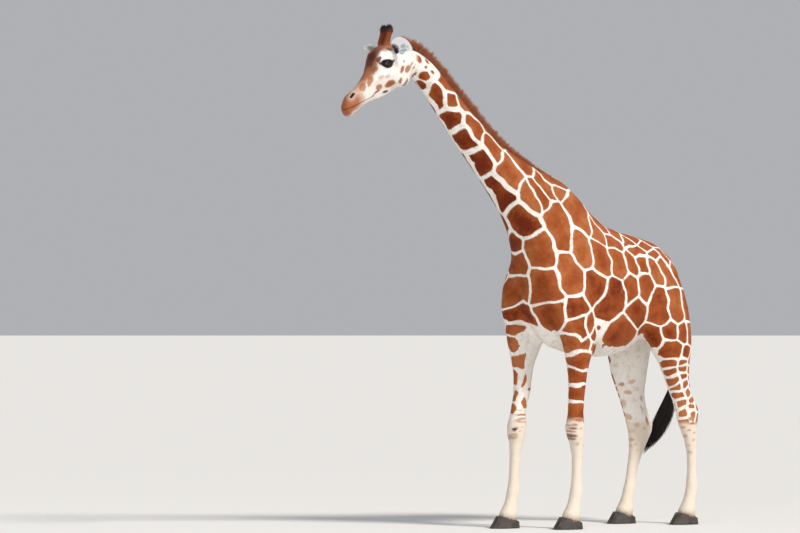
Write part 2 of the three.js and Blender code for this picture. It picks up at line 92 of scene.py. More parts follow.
# %% Camera
CAMERA_DISTANCE = 26.1
CAMERA_HEIGHT = 1.53
CAMERA_BEARING = math.radians(38)  # ahead of the animal's left side
AIM_LEFT = math.radians(3.434)
AIM_UP = math.radians(1.0915)
camera_data = bpy.data.cameras.new("camera")
camera_data.lens = 150
camera_data.sensor_width = 36
camera_data.clip_end = 2000
camera = bpy.data.objects.new("camera", camera_data)
bpy.context.scene.collection.objects.link(camera)
away = Vector((-math.sin(CAMERA_BEARING), -math.cos(CAMERA_BEARING), 0)) * CAMERA_DISTANCE
camera.location = BODY_ORIGIN + away + Vector((0, 0, CAMERA_HEIGHT))
camera.rotation_euler = (math.radians(90) + AIM_UP, 0, AIM_LEFT - CAMERA_BEARING)
bpy.context.scene.camera = camera
print("camera at", [round(value, 2) for value in camera.location])

# %% [markdown]
# The studio is a pale floor with a pale sky round it, one large soft key lamp high on the camera's right,
# and a weaker one on the other side, so that the belly and the throat stay readable.

# %% Floor, sky and lamps
FLOOR_REACH = 900  # metres, so that its edge is far away from every side
MIDDLE_OF_TRUNK = Vector((0, 0, 1.8))


def fill(tree, node, inputs):
    """Gives each named input of a node its number or colour, or links it to another node's output."""
    for name, value in inputs.items():
        if isinstance(value, tuple):
            node.inputs[name].default_value = (*value, 1)
        elif isinstance(value, (int, float)):
            node.inputs[name].default_value = value
        else:
            tree.links.new(value, node.inputs[name])
    return node


def on_shader(material, inputs):
    """Fills inputs of a material's own shader."""
    tree = material.node_tree
    fill(tree, tree.nodes["Principled BSDF"], inputs)
    return material


def plain_material(name, colour, roughness):
    material = bpy.data.materials.new(name)
    material.use_nodes = True
    return on_shader(material, {"Base Color": colour, "Roughness": roughness})


def new_piece(name, mesh):
    piece = bpy.data.objects.new(name, mesh)
    bpy.context.scene.collection.objects.link(piece)
    return piece


def mesh_from_bmesh(name, bm):
    mesh = bpy.data.meshes.new(name)
    bm.to_mesh(mesh)
    bm.free()
    return mesh


def dressed(piece, material):
    """The piece, with the one material that it wears."""
    piece.data.materials.clear()
    piece.data.materials.append(material)
    return piece


disc = bmesh.new()
bmesh.ops.create_circle(disc, cap_ends=True, segments=96, radius=FLOOR_REACH)
floor = new_piece("floor", mesh_from_bmesh("floor", disc))
dressed(floor, plain_material("pale_floor", (0.74, 0.73, 0.71), 0.9))

world = bpy.data.worlds.new("studio_sky")
world.use_nodes = True
fill(world.node_tree, world.node_tree.nodes["Background"], {"Color": (0.93, 0.95, 1.0), "Strength": 0.46})
bpy.context.scene.world = world
bpy.context.scene.view_settings.view_transform = "Standard"  # colours as mixed, not softened as on film


def lamp(name, place, kind, size, power, colour):
    """A light at a body place, aimed at the middle of the trunk. A sun's size is its angle in radians."""
    data = bpy.data.lights.new(name, kind)
    if kind == "AREA":
        data.shape = "DISK"
        data.size = size
    else:
        data.angle = size
    data.energy = power
    data.color = colour
    light = bpy.data.objects.new(name, data)
    light.location = BODY_ORIGIN + Vector(place)
    light.rotation_euler = (MIDDLE_OF_TRUNK - Vector(place)).to_track_quat("-Z", "Y").to_euler()
    bpy.context.scene.collection.objects.link(light)
    return light


lamp("key_lamp", (3.0, -9.0, 11.0), "SUN", 0.22, 3.1, (1.0, 0.965, 0.91))
lamp("fill_lamp", (-9.0, -7.0, 4.0), "AREA", 4.0, 260, (0.94, 0.97, 1.0))
print("lamps:", len(bpy.data.lights))

# %% [markdown]
# Short helpers carry whole meshes between Blender and number arrays. Along the edges of a mesh, any value at a
# point can move towards the mean of its neighbours, which smooths a form as well as a number.

# %% Arrays from meshes
def vectors_of(points, channel):
    flat = np.empty(len(points) * 3, np.float32)
    points.foreach_get(channel, flat)
    return flat.reshape(-1, 3).astype(float)


def places_of(mesh):
    return vectors_of(mesh.vertices, "co")


def normals_of(mesh):
    return vectors_of(mesh.vertex_normals, "vector")


def in_body(mesh):
    return places_of(mesh) - ORIGIN


def set_places(mesh, places):
    mesh.vertices.foreach_set("co", places.astype(np.float32).ravel())
    mesh.update()


def edges_of(mesh):
    flat = np.empty(len(mesh.edges) * 2, np.int32)
    mesh.edges.foreach_get("vertices", flat)
    return flat.reshape(-1, 2)


def blended(values, edges, rounds, share=0.5, keep=None):
    """Values moved towards the mean of their neighbours, in rounds. Keep, from 0 to 1, holds some back."""
    count = np.bincount(edges.ravel(), minlength=len(values)).astype(float)
    count[count == 0] = 1
    result = values.astype(float).copy()
    columns = result.reshape(len(result), -1)
    weight = share if keep is None else (share * (1 - keep))[:, None]
    for _ in range(rounds):
        total = np.stack(
            [
                np.bincount(edges[:, 0], column[edges[:, 1]], len(column))
                + np.bincount(edges[:, 1], column[edges[:, 0]], len(column))
                for column in columns.T
            ],
            axis=1,
        )
        columns += weight * (total / count[:, None] - columns)
    return result


def unit(vectors):
    return vectors / np.maximum(norm(vectors, axis=-1, keepdims=True), 1e-9)


def ramp(low, high, value):
    """0 below low, 1 above high, and a smooth ramp between them."""
    t = np.clip((value - low) / (high - low), 0, 1)
    return t * t * (3 - 2 * t)


print("a quarter up a ramp:", ramp(0, 1, 0.25))

# %% [markdown]
# The skin starts as copies of the flesh solids and of the eyes, which fill their sockets. Each copy swells
# by about half a millimetre so that neighbours overlap, and a voxel remesh turns them into one closed
# surface. Its small even squares are easy to smooth and to sculpt.

# %% One skin over the flesh
LENGTHS_OF_LEG = ("foreleg_upper", "foreleg_lower", "hindleg_upper", "hindleg_lower")
FLESH = ["head", "jaw", "neck_upper", "neck_lower", "trunk"]
FLESH += [f"{length}_{side}" for length in LENGTHS_OF_LEG for side in SIDES]
SWELL = 0.0006
VOXEL = 0.02


def merged_copy(nodes, swell=0):
    """One bmesh of the named solids, each with its corners merged and swollen a little."""
    bm = bmesh.new()
    for node in nodes:
        solid = bmesh.new()
        solid.from_mesh(frame["nodes"][node].data)
        bmesh.ops.remove_doubles(solid, verts=solid.verts, dist=1e-5)
        solid.normal_update()
        for vertex in solid.verts:
            vertex.co += vertex.normal * swell
        mesh = mesh_from_bmesh("swollen", solid)
        bm.from_mesh(mesh)
        bpy.data.meshes.remove(mesh)
    return bm


def tree_of(mesh):
    """The mesh as a tree, for rays and nearest places."""
    return BVHTree.FromPolygons(
        [vertex.co.copy() for vertex in mesh.vertices],
        [tuple(polygon.vertices) for polygon in mesh.polygons],
    )


def tree_of_solids(nodes, swell=0):
    mesh = mesh_from_bmesh("solids", merged_copy(nodes, swell))
    tree = tree_of(mesh)
    bpy.data.meshes.remove(mesh)
    return tree


def bake_modifiers(piece):
    """The piece's mesh becomes what its modifiers make of it."""
    evaluated = piece.evaluated_get(bpy.context.evaluated_depsgraph_get())
    mesh = bpy.data.meshes.new_from_object(evaluated)
    old = piece.data
    piece.modifiers.clear()
    piece.data = mesh
    bpy.data.meshes.remove(old)
    mesh.name = piece.name


def remeshed(name, bm, voxel):
    """A new piece: the closed outer surface of a bmesh, in small even squares."""
    piece = new_piece(name, mesh_from_bmesh(name, bm))
    remesh = piece.modifiers.new("one_surface", "REMESH")
    remesh.mode = "VOXEL"
    remesh.voxel_size = voxel
    bake_modifiers(piece)
    return piece


flesh_and_eyes = [*FLESH, "eye_left", "eye_right"]
flesh_tree = tree_of_solids(flesh_and_eyes, SWELL)
skin = remeshed("giraffe_skin", merged_copy(flesh_and_eyes, SWELL), VOXEL)
print("skin after the remesh:", len(skin.data.polygons), "faces")

# %% [markdown]
# The head and the lower legs need smaller faces than the barrel, so we cut every face there in four. Soft
# shares, which are 1 in a region and fall to 0 past its edge, say how far each point belongs to it.

# %% Smaller faces on the head and lower legs
LEGS_BELOW = 0.95


def along(places, start, end):
    """How far along the line from start (0) to end (1) each place is."""
    line = np.array(end, float) - np.array(start, float)
    return (places - np.array(start, float)) @ line / (line @ line)


def head_share(places):
    """1 on the head, falling to 0 over the first hand's breadth of neck."""
    x, _, z = places.T
    return 1 - ramp(-1.86, -1.76, x - 0.19 * (z - 3.5))


def leg_share(places):
    """1 from the upper forearm down, falling to 0 at the elbow."""
    return 1 - ramp(1.15, 1.5, places[:, 2])


def quarter_faces(piece, wanted):
    """Cuts in four the faces whose corners are all wanted."""
    bm = bmesh.new()
    bm.from_mesh(piece.data)
    bm.verts.ensure_lookup_table()
    chosen = {
        edge
        for face in bm.faces
        if all(wanted[vertex.index] for vertex in face.verts)
        for edge in face.edges
    }
    bmesh.ops.subdivide_edges(bm, edges=list(chosen), cuts=1, use_grid_fill=True)
    bm.to_mesh(piece.data)
    bm.free()
    piece.data.update()


def laid_on(tree, places):
    """The nearest point of a surface to each place."""
    return np.array([tree.find_nearest(Vector(place))[0] for place in places])


body = in_body(skin.data)
quarter_faces(skin, (head_share(body) > 0) | (body[:, 2] < LEGS_BELOW))
print("skin with a finer head and legs:", len(skin.data.polygons), "faces")

# %% [markdown]
# The flat facets go next. Every point is laid on the solids and then moves towards the mean of its
# neighbours, less on the head and legs than on the big masses. Smoothing eats into a form, so the second step
# puts each point back to the depth where skin lies under the coat, again blended, so that no facet returns.

# %% Smooth the form and set it in by the coat
COAT_DEPTH = 0.0035
COAT_DEPTH_HEAD = 0.0015


def settle(piece, raw, rounds, keep, depth, spread=25):
    """Smooths a piece, then sets it in from its raw places by the depth of the coat."""
    edges = edges_of(piece.data)
    smooth = blended(raw, edges, rounds, keep=keep)
    for _ in range(2):
        set_places(piece.data, smooth)
        normals = normals_of(piece.data)
        sunk = ((smooth - raw) * normals).sum(axis=1)
        correction = blended(-depth - sunk, edges, spread)
        smooth += normals * correction[:, None]
    set_places(piece.data, smooth)


body = in_body(skin.data)
head_part = head_share(body)
held = np.clip(0.55 * head_part + 0.45 * leg_share(body), 0, 0.75)
coat_depth = COAT_DEPTH + (COAT_DEPTH_HEAD - COAT_DEPTH) * head_part
settle(skin, laid_on(flesh_tree, places_of(skin.data)), 36, held, coat_depth)
body = in_body(skin.data)
print("skin from", body.min(axis=0).round(3), "to", body.max(axis=0).round(3))

# %% [markdown]
# Ears, horns and tail are too thin for the coarse remesh. A horn or the tail gets a finer one of its own, and
# an ear, thin as a leaf, is rounded by subdivision instead, because voxels would fray its rim. Each root is
# pushed into the body, the closed surfaces are joined by a boolean union, and the joint is smoothed until
# the ear grows out of the skull.

# %% Ears, horns and tail
JOINT_WIDTH = 0.02
ROOT_GAP = 0.004  # metres off the skin: what is nearer is pushed all the way in
ROOT_FADE = 0.012


def fine_limb(node, voxel, rounds, depth):
    piece = remeshed(node + "_skin", merged_copy([node]), voxel)
    settle(piece, places_of(piece.data), rounds, np.zeros(len(piece.data.vertices)), depth, 10)
    return piece


def rounded_leaf(node, levels):
    """A thin solid rounded by Catmull-Clark subdivision, which pulls it in by a millimetre or two."""
    bm = merged_copy([node])
    bmesh.ops.join_triangles(bm, faces=bm.faces, angle_face_threshold=1.0, angle_shape_threshold=1.5)
    piece = new_piece(node + "_skin", mesh_from_bmesh(node, bm))
    rounding = piece.modifiers.new("rounding", "SUBSURF")
    rounding.levels = levels
    rounding.render_levels = levels
    bake_modifiers(piece)
    return piece


def rooted(piece, push):
    """Pushes the root of a limb into the skin, so that the two surfaces cross."""
    places = places_of(piece.data)
    for index, place in enumerate(places):
        nearest, normal, _, _ = skin_tree.find_nearest(Vector(place))
        gap = (Vector(place) - nearest).dot(normal)
        reach = 1 - min(max(gap - ROOT_GAP, 0) / ROOT_FADE, 1)
        places[index] -= np.array(normal) * push * reach
    set_places(piece.data, places)
    return piece


def distances(tree, places):
    return np.array([tree.find_nearest(Vector(place))[3] for place in places])


skin_tree = tree_of(skin.data)
LIMBS = [rooted(rounded_leaf(f"ear_{side}", 2), 0.018) for side in SIDES]
LIMBS += [rooted(fine_limb(f"ossicone_{side}", 0.006, 6, 0.001), 0.02) for side in SIDES]
LIMBS += [rooted(fine_limb("tail", 0.0075, 12, 0.002), 0.02)]
limb_trees = [tree_of(limb.data) for limb in LIMBS]
for limb in LIMBS:
    join = skin.modifiers.new("join_" + limb.name, "BOOLEAN")
    join.operation = "UNION"
    join.solver = "MANIFOLD"
    join.object = limb
bake_modifiers(skin)
for limb in LIMBS:
    bpy.data.objects.remove(limb)

places = places_of(skin.data)
from_skin = distances(skin_tree, places)
from_limb = np.min([distances(tree, places) for tree in limb_trees], axis=0)
joint = 1 - ramp(0, JOINT_WIDTH, np.maximum(from_skin, from_limb))
set_places(skin.data, blended(places, edges_of(skin.data), 10, keep=1 - joint))
print("skin with ears, horns and tail:", len(skin.data.polygons), "faces")

# %% [markdown]
# The eye sits in lids, the nostril is a slit and the lips meet in a crease. Their faces are cut in four
# again, twice at the nostril and along the mouth. The eye has directions of its own, which the socket, the
# lids and the pupil all use: one looks out of the socket, one runs towards the ear and one up.

# %% Smaller faces round eyes, nostrils and mouth
EYE_CENTRE = np.array(EYE_IN_BODY)
EYE_RADIUS = (eye_high.z - eye_low.z) / 2
NOSTRIL = np.array([-2.358, -0.043, 3.267])
NOSTRIL_LINE = np.array([0.67, -0.08, 0.74]) * 0.018  # from its middle to its upper end
MOUTH_CORNER_X = -2.165
MOUTH_POINT = np.array([-2.24, 0, 3.236])
MOUTH_SLOPE = 0.435


def mirrored(vector, side):
    """The vector, given for the left side, on that side."""
    return np.array(vector, float) * np.array([1, -side, 1])


def nostril_line(side):
    """The nostril's lower and upper end."""
    return [mirrored(NOSTRIL - NOSTRIL_LINE, side), mirrored(NOSTRIL + NOSTRIL_LINE, side)]


def eye_place(side):
    """The middle of the eyeball, in the frame of the pieces."""
    return mirrored(EYE_CENTRE, side) + ORIGIN


def eye_axes(side):
    outward = unit(np.array([-0.22, side, 0.05]))
    aft = np.array([0.99, 0.0, 0.13])
    aft = unit(aft - outward * (aft @ outward))
    up = np.cross(aft, outward) * -side
    return outward, aft, up if up[2] > 0 else -up


def mouth_height(places):
    """How far above the line of the lips each place is."""
    x, _, z = places.T
    return (z - MOUTH_POINT[2] - MOUTH_SLOPE * (x - MOUTH_POINT[0])) / math.hypot(1, MOUTH_SLOPE)


def near_lips(places, width):
    ahead = 1 - ramp(MOUTH_CORNER_X - 0.01, MOUTH_CORNER_X + 0.02, places[:, 0])
    return np.exp(-((mouth_height(places) / width) ** 2)) * ahead


def within(places, centre, radius):
    """Which places lie within the radius of the centre, on either side."""
    near = [norm(places - mirrored(centre, side), axis=1) < radius for side in BOTH]
    return np.any(near, axis=0)


def near_holes(places, round_eye, round_nostril, round_lips):
    """Which places lie this near, in metres, to an eye, a nostril or the lips."""
    by_eye_or_nose = within(places, EYE_CENTRE, round_eye) | within(places, NOSTRIL, round_nostril)
    return by_eye_or_nose | (near_lips(places, round_lips) > 0.3)


quarter_faces(skin, near_holes(in_body(skin.data), 0.078, 0.055, 0.02))
loose = 0.6 * near_holes(in_body(skin.data), 0.085, 0.06, 0.024)
set_places(skin.data, blended(places_of(skin.data), edges_of(skin.data), 4, keep=1 - loose))
body = in_body(skin.data)
quarter_faces(skin, within(body, NOSTRIL, 0.034) | (near_lips(body, 0.01) > 0.3))
print("skin with a finer face:", len(skin.data.polygons), "faces")

# %% [markdown]
# Bones and muscles show through the skin: shoulder blade and hip, the groove of the great neck vein, the
# hollow of the flank, the crest of the cheek. Each is a short line in the body with a width and a height. It
# is given once and used on both sides, and the skin swells or sinks along it.

# %% Bones and muscles under the skin
def near_line(places, points, width):
    """1 on a line through the points, falling off as a bell of that width."""
    points = [np.array(point, float) for point in points]
    if len(points) == 1:
        closest = norm(places - points[0], axis=1)
    else:
        spans = []
        for start, end in zip(points, points[1:]):
            t = np.clip(along(places, start, end), 0, 1)
            spans.append(norm(places - (start + t[:, None] * (end - start)), axis=1))
        closest = np.min(spans, axis=0)
    return np.exp(-((closest / width) ** 2))


BODY_FORMS = {  # points as (x, outward, z), width, height
    "shoulder_blade": ([(-0.42, 0.1, 2.5), (-0.66, 0.2, 1.9)], 0.045, 0.008),
    "point_of_shoulder": ([(-0.72, 0.2, 1.7)], 0.085, 0.014),
    "upper_arm": ([(-0.42, 0.26, 1.72), (-0.52, 0.25, 1.6)], 0.1, 0.01),
    "hollow_behind_arm": ([(-0.24, 0.24, 2.2), (-0.22, 0.28, 1.8), (-0.24, 0.27, 1.48)], 0.05, -0.01),
    "hollow_before_shoulder": ([(-0.66, 0.15, 2.5), (-0.8, 0.18, 2.15), (-0.8, 0.17, 1.9)], 0.04, -0.009),
    "neck_vein": ([(-1.7, 0.06, 3.36), (-1.25, 0.09, 2.88), (-0.92, 0.12, 2.38)], 0.022, -0.006),
    "neck_muscle": ([(-1.6, 0.09, 3.4), (-1.1, 0.12, 2.8), (-0.78, 0.17, 2.35)], 0.05, 0.004),
    "hip_bone": ([(0.34, 0.19, 2.11)], 0.06, 0.014),
    "flank_hollow": ([(0.2, 0.25, 1.98), (0.24, 0.25, 1.8)], 0.08, -0.012),
    "pin_bone": ([(0.68, 0.1, 1.99)], 0.05, 0.01),
    "rump_hollow": ([(0.48, 0.18, 2.02), (0.6, 0.16, 1.92)], 0.05, -0.007),
    "thigh_groove": ([(0.62, 0.18, 1.85), (0.6, 0.2, 1.48), (0.61, 0.18, 1.2)], 0.028, -0.008),
    "knee_cap": ([(0.32, 0.24, 1.5)], 0.06, 0.01),
    "flank_fold": ([(0.27, 0.24, 1.54), (0.14, 0.26, 1.72)], 0.03, 0.006),
    "elbow": ([(-0.27, 0.24, 1.47)], 0.04, 0.01),
    "forearm_groove": ([(-0.4, 0.27, 1.55), (-0.4, 0.28, 1.25)], 0.02, -0.004),
}
for rib in range(6):
    x = -0.12 + 0.075 * rib
    BODY_FORMS[f"rib_{rib}"] = ([(x, 0.27, 2.02), (x + 0.03, 0.28, 1.62)], 0.018, 0.003)
for joint_of_neck in range(5):
    t = joint_of_neck / 4
    place = (-1.6 + 0.68 * t, 0.09 + 0.05 * t, 3.38 - 0.78 * t)
    BODY_FORMS[f"neck_joint_{joint_of_neck}"] = ([place], 0.06, 0.005)
MIDDLE_FORMS = {
    "breast_cleft": ([(-0.8, 0, 2.08), (-0.76, 0, 1.72), (-0.66, 0, 1.56)], 0.03, -0.014),
    "windpipe": ([(-1.72, 0, 3.36), (-1.2, 0, 2.76), (-0.95, 0, 2.42)], 0.03, 0.005),
    "backbone": ([(-0.1, 0, 2.43), (0.2, 0, 2.3), (0.55, 0, 2.19)], 0.022, 0.005),
}
FACE_FORMS = {
    "cheek_muscle": ([(-1.98, 0.1, 3.41)], 0.055, 0.004),
    "cheek_crest": ([(-2.06, 0.11, 3.455), (-2.2, 0.072, 3.36), (-2.27, 0.06, 3.3)], 0.014, 0.004),
    "hollow_under_crest": ([(-2.08, 0.1, 3.4), (-2.2, 0.07, 3.31)], 0.022, -0.004),
    "tear_hollow": ([(-2.14, 0.1, 3.485), (-2.19, 0.08, 3.44)], 0.016, -0.004),
    "nose_wing": ([(-2.372, 0.052, 3.262)], 0.026, 0.005),
    "upper_lip": ([(-2.4, 0.03, 3.19), (-2.3, 0.052, 3.225)], 0.02, 0.004),
    "jaw_edge": ([(-1.95, 0.08, 3.345), (-2.12, 0.05, 3.262)], 0.018, 0.004),
    "chin": ([(-2.36, 0.0, 3.135)], 0.028, 0.004),
}


def lifted(piece, lift):
    """Moves each point of a piece along its own normal."""
    set_places(piece.data, places_of(piece.data) + normals_of(piece.data) * lift[:, None])


body = in_body(skin.data)
lift = np.zeros(len(body))
for points, width, height in [*BODY_FORMS.values(), *FACE_FORMS.values()]:
    for side in BOTH:
        lift += height * near_line(body, [mirrored(point, -side) for point in points], width)
for points, width, height in MIDDLE_FORMS.values():
    lift += height * near_line(body, points, width)
lifted(skin, lift)
forms = len(BODY_FORMS) + len(FACE_FORMS) + len(MIDDLE_FORMS)
print("forms:", forms, "greatest lift in mm:", round(lift.max() * 1000, 1))

# %% [markdown]
# The legs stand at different places in the stride, so their forms are given from each leg's own axis: how far
# ahead of it, how far out, and the height. We find the axis by cutting the leg into level slices.

# %% Knees, hocks and fetlocks
LEGS = [(pair, side) for pair in ("fore", "hind") for side in BOTH]
LEG_TOP = 1.3


def leg_points(body, pair, side):
    """Which places belong to a leg, below the trunk."""
    x, y, z = body.T
    fore_or_aft = x < -0.05 if pair == "fore" else x > 0.1
    return fore_or_aft & (y * side > 0.03) & (z < LEG_TOP)


def leg_axis(body, pair, side):
    """The leg's middle at a row of heights: (heights, x, y, half length, half width)."""
    heights = np.arange(0.1, LEG_TOP, 0.05)
    of_leg = body[leg_points(body, pair, side)]
    rows = []
    for height in heights:
        slice_ = of_leg[abs(of_leg[:, 2] - height) < 0.03]
        low, high = slice_.min(axis=0), slice_.max(axis=0)
        rows.append([*((low + high) / 2)[:2], *((high - low) / 2)[:2]])
    return heights, *np.array(rows).T


leg_axes = {(pair, side): leg_axis(body, pair, side) for pair, side in LEGS}
KNEE_HEIGHT = 0.76
HOCK_HEIGHT = {-1: 0.86, 1: 0.79}
FETLOCK_HEIGHT = 0.17
TENDON_GROOVE = (0.6, 0.26)  # its upper and lower end, on both sides of every cannon
# Each row: height (over the hock, for a hind leg), along (-1 is in front), out (-1 is inside), width, lift.
LEG_FORMS = {
    "fore": [
        (KNEE_HEIGHT + 0.02, -1.0, 0.0, 0.045, 0.007),
        (KNEE_HEIGHT + 0.05, 1.0, 0.0, 0.028, 0.01),
        (KNEE_HEIGHT + 0.11, -0.9, 0.0, 0.03, -0.004),
        (KNEE_HEIGHT - 0.1, -0.9, 0.0, 0.03, -0.004),
        (FETLOCK_HEIGHT, 0.6, 0.0, 0.03, 0.007),
    ],
    "hind": [
        (0.06, 0.9, 0.0, 0.025, 0.006),
        *[(0.2, 0.45, out, 0.028, -0.008) for out in (1, -1)],
        *[(0.13, 0.45, out, 0.022, -0.006) for out in (1, -1)],
        (-0.02, 0.0, 1.0, 0.035, 0.004),
        (-0.05, -1.0, 0.0, 0.04, 0.004),
    ],
}


def on_leg(pair, side, z, along, out):
    """The place at a height that lies so far along and out from the leg's axis, in halves of the leg."""
    x, y, half_x, half_y = (np.interp(z, leg_axes[pair, side][0], row) for row in leg_axes[pair, side][1:])
    return x + along * half_x, y + out * side * half_y, z


body = in_body(skin.data)
lift = np.zeros(len(body))
for pair, side in LEGS:
    own = leg_points(body, pair, side)
    for rise, fore_aft, out, width, height in LEG_FORMS[pair]:
        z = rise + (HOCK_HEIGHT[side] if pair == "hind" else 0)
        lift += own * height * near_line(body, [on_leg(pair, side, z, fore_aft, out)], width)
    for out in (-side, side):
        line = [on_leg(pair, side, z, 0.3, out) for z in TENDON_GROOVE]
        lift -= own * 0.005 * near_line(body, line, 0.012)
lifted(skin, lift)
print("leg axes:", len(leg_axes))

# %% [markdown]
# The nostril is pushed in along a slanting slit with a raised rim, and the lips are parted by a soft crease
# that dies out at the corner of the mouth. Where the eye will be, the skin drops into the socket.

# %% Nostrils, lips and sockets
LID_REACH = 1.34  # angle from the eye's axis to where the lids meet the face
skin_before_socket = tree_of(skin.data)
body = in_body(skin.data)
lift = -0.0045 * near_lips(body, 0.0042) + 0.0025 * near_lips(body, 0.016)
for side in BOTH:
    line = nostril_line(side)
    lift += 0.004 * near_line(body, line, 0.014) - 0.017 * near_line(body, line, 0.0062)
places = places_of(skin.data) + normals_of(skin.data) * lift[:, None]
for side in BOTH:
    outward, _, _ = eye_axes(side)
    away = places - eye_place(side)
    radius = norm(away, axis=1)
    angle = np.arccos(np.clip(away @ outward / np.maximum(radius, 1e-9), -1, 1))
    near = radius < 0.09
    inside = near * (1 - ramp(LID_REACH - 0.22, LID_REACH - 0.1, angle))
    drop = np.maximum(radius - 0.72 * EYE_RADIUS, 0) * inside
    places -= away / np.maximum(radius, 1e-9)[:, None] * drop[:, None]
set_places(skin.data, places)
print("deepest groove of nose and lips in mm:", round(lift.min() * 1000, 1))

# %% [markdown]
# The eyeball is a smooth ball with a slight bulge for the cornea. The lids are a bowl of skin round it: the
# inner edge follows the almond opening on the ball, and the outer edge dips under the face. A thin roll of
# dark skin rounds the opening off. Each of them starts as an icosphere or a flat grid, whose points we move.

# %% Eyes and lids
EYE_OPENING = (1.00, 0.52, 0.36)  # angles from the axis to the corners, the upper and the lower lid
LID_COLUMNS = 72
LID_ROWS = 16
LID_THICKNESS = 0.0026
MARGIN_THICKNESS = 0.0013


def opening_edge(u):
    """The almond opening at the turn u: angles from the eye's axis towards the ear and up."""
    corner, upper, lower = EYE_OPENING
    height = upper if math.sin(u) > 0 else lower
    return np.array([corner * math.cos(u), height * math.copysign(abs(math.sin(u)) ** 1.45, math.sin(u))])


def eye_direction(side, angles):
    """The direction from the eye's centre, these angles towards the ear and up from its axis."""
    outward, aft, up = eye_axes(side)
    turn = norm(angles)
    sideways = (angles[0] * aft + angles[1] * up) / max(turn, 1e-9)
    return math.cos(turn) * outward + math.sin(turn) * sideways


def smooth_shaded(piece):
    piece.data.polygons.foreach_set("use_smooth", np.ones(len(piece.data.polygons), bool))
    return piece


eye_balls = bmesh.new()
lids = bmesh.new()
margins = bmesh.new()
for side in BOTH:
    centre = eye_place(side)
    outward, aft, up = eye_axes(side)
    ball = bmesh.ops.create_icosphere(eye_balls, subdivisions=5, radius=1)
    for vertex in ball["verts"]:
        direction = np.array(vertex.co.normalized())
        turn = math.acos(min(max(direction @ outward, -1), 1))
        polar = math.atan2(direction @ up, direction @ aft)
        reach = norm(opening_edge(polar))
        cornea = 0.0012 * float(ramp(0.8, 0.97, math.cos(turn)))
        hidden = 1 - 0.3 * float(ramp(0.06, 0.45, turn - reach))
        vertex.co = Vector(centre + direction * (EYE_RADIUS - 0.0008 + cornea) * hidden)
    grid = bmesh.ops.create_grid(lids, x_segments=LID_COLUMNS, y_segments=LID_ROWS, size=0.5)
    for vertex in grid["verts"]:
        u = (vertex.co.x + 0.5) * 2 * math.pi
        v = vertex.co.y + 0.5
        outer = LID_REACH * np.array([math.cos(u), math.sin(u)])
        direction = eye_direction(side, opening_edge(u) * (1 - v) + outer * v)
        hit, _, _, _ = skin_before_socket.ray_cast(Vector(centre), Vector(direction))
        face = (hit - Vector(centre)).length if hit else EYE_RADIUS
        share = float(ramp(0.15, 1.0, v))
        fold = 0.0016 * math.exp(-(((v - 0.42) / 0.09) ** 2)) * (1 if math.sin(u) > 0 else 0.5)
        rolled = EYE_RADIUS + LID_THICKNESS * min(1, v / 0.08)
        vertex.co = Vector(centre + direction * (rolled * (1 - share) + (face - 0.001) * share - fold))
    rim = bmesh.ops.create_grid(margins, x_segments=LID_COLUMNS, y_segments=8, size=0.5)
    for vertex in rim["verts"]:
        edge = opening_edge((vertex.co.x + 0.5) * 2 * math.pi)
        turn = (vertex.co.y + 0.5) * 2 * math.pi
        wider = math.cos(turn) * MARGIN_THICKNESS / EYE_RADIUS / norm(edge)
        direction = eye_direction(side, edge * (1 + wider))
        vertex.co = Vector(centre + direction * (EYE_RADIUS + 0.001 + MARGIN_THICKNESS * math.sin(turn)))
for bm in (lids, margins):
    bmesh.ops.remove_doubles(bm, verts=bm.verts, dist=1e-5)
    bmesh.ops.recalc_face_normals(bm, faces=bm.faces)
eye_pieces = smooth_shaded(new_piece("eyes", mesh_from_bmesh("eyes", eye_balls)))
lid_piece = smooth_shaded(new_piece("eyelids", mesh_from_bmesh("eyelids", lids)))
margin_piece = smooth_shaded(new_piece("lid_margins", mesh_from_bmesh("lid_margins", margins)))
smooth_shaded(skin)
print("eye faces", len(eye_pieces.data.polygons), "lid faces", len(lid_piece.data.polygons))

# %% [markdown]
# A giraffe's hoof is two claws of dull horn on one level sole. The facets of each claw are rounded off by a
# fine remesh and by smoothing that is held back near the sole, and the sole is pressed flat again. The end of
# each foot is let down into the horn, so that skin and hoof meet without a groove.

# %% Hooves
HOOF_VOXEL = 0.005
SOLE_THICKNESS = 0.004
SOLE_EDGE = 0.03
FOOT_SINKS = 0.014  # metres, into the horn
CLAWS = [f"{leg}hoof_{side}" for leg in ("fore", "hind") for side in SIDES]
CLAWS = [f"{foot}_{claw}" for foot in CLAWS for claw in ("inner", "outer")]
hoof_mesh = bmesh.new()
for claw in CLAWS:
    claw_piece = remeshed(claw + "_horn", merged_copy([claw]), HOOF_VOXEL)
    raw = places_of(claw_piece.data)
    by_sole = 1 - ramp(0, SOLE_EDGE, raw[:, 2])
    settle(claw_piece, raw, 26, 0.9 * by_sole, 0.0004, 3)
    places = places_of(claw_piece.data)
    near_sole = raw[:, 2] < SOLE_THICKNESS
    places[near_sole, 2] = raw[near_sole, 2]
    places[:, 2] = np.maximum(places[:, 2], 0)
    set_places(claw_piece.data, places)
    hoof_mesh.from_mesh(claw_piece.data)
    bpy.data.objects.remove(claw_piece)
hooves = smooth_shaded(new_piece("hooves", mesh_from_bmesh("hooves", hoof_mesh)))
hoof_tree = tree_of(hooves.data)


def near_hoof(places, from_hoof, to_hoof):
    """1 closer to a hoof than the first distance, and 0 past the second."""
    result = np.zeros(len(places))
    low_down = np.flatnonzero(places[:, 2] < 0.2)
    gaps = distances(hoof_tree, places[low_down] + ORIGIN)
    result[low_down] = 1 - ramp(from_hoof, to_hoof, gaps)
    return result


places = places_of(skin.data)
places[:, 2] -= FOOT_SINKS * near_hoof(in_body(skin.data), 0.01, 0.045)
set_places(skin.data, places)
print("hoof faces:", len(hooves.data.polygons))

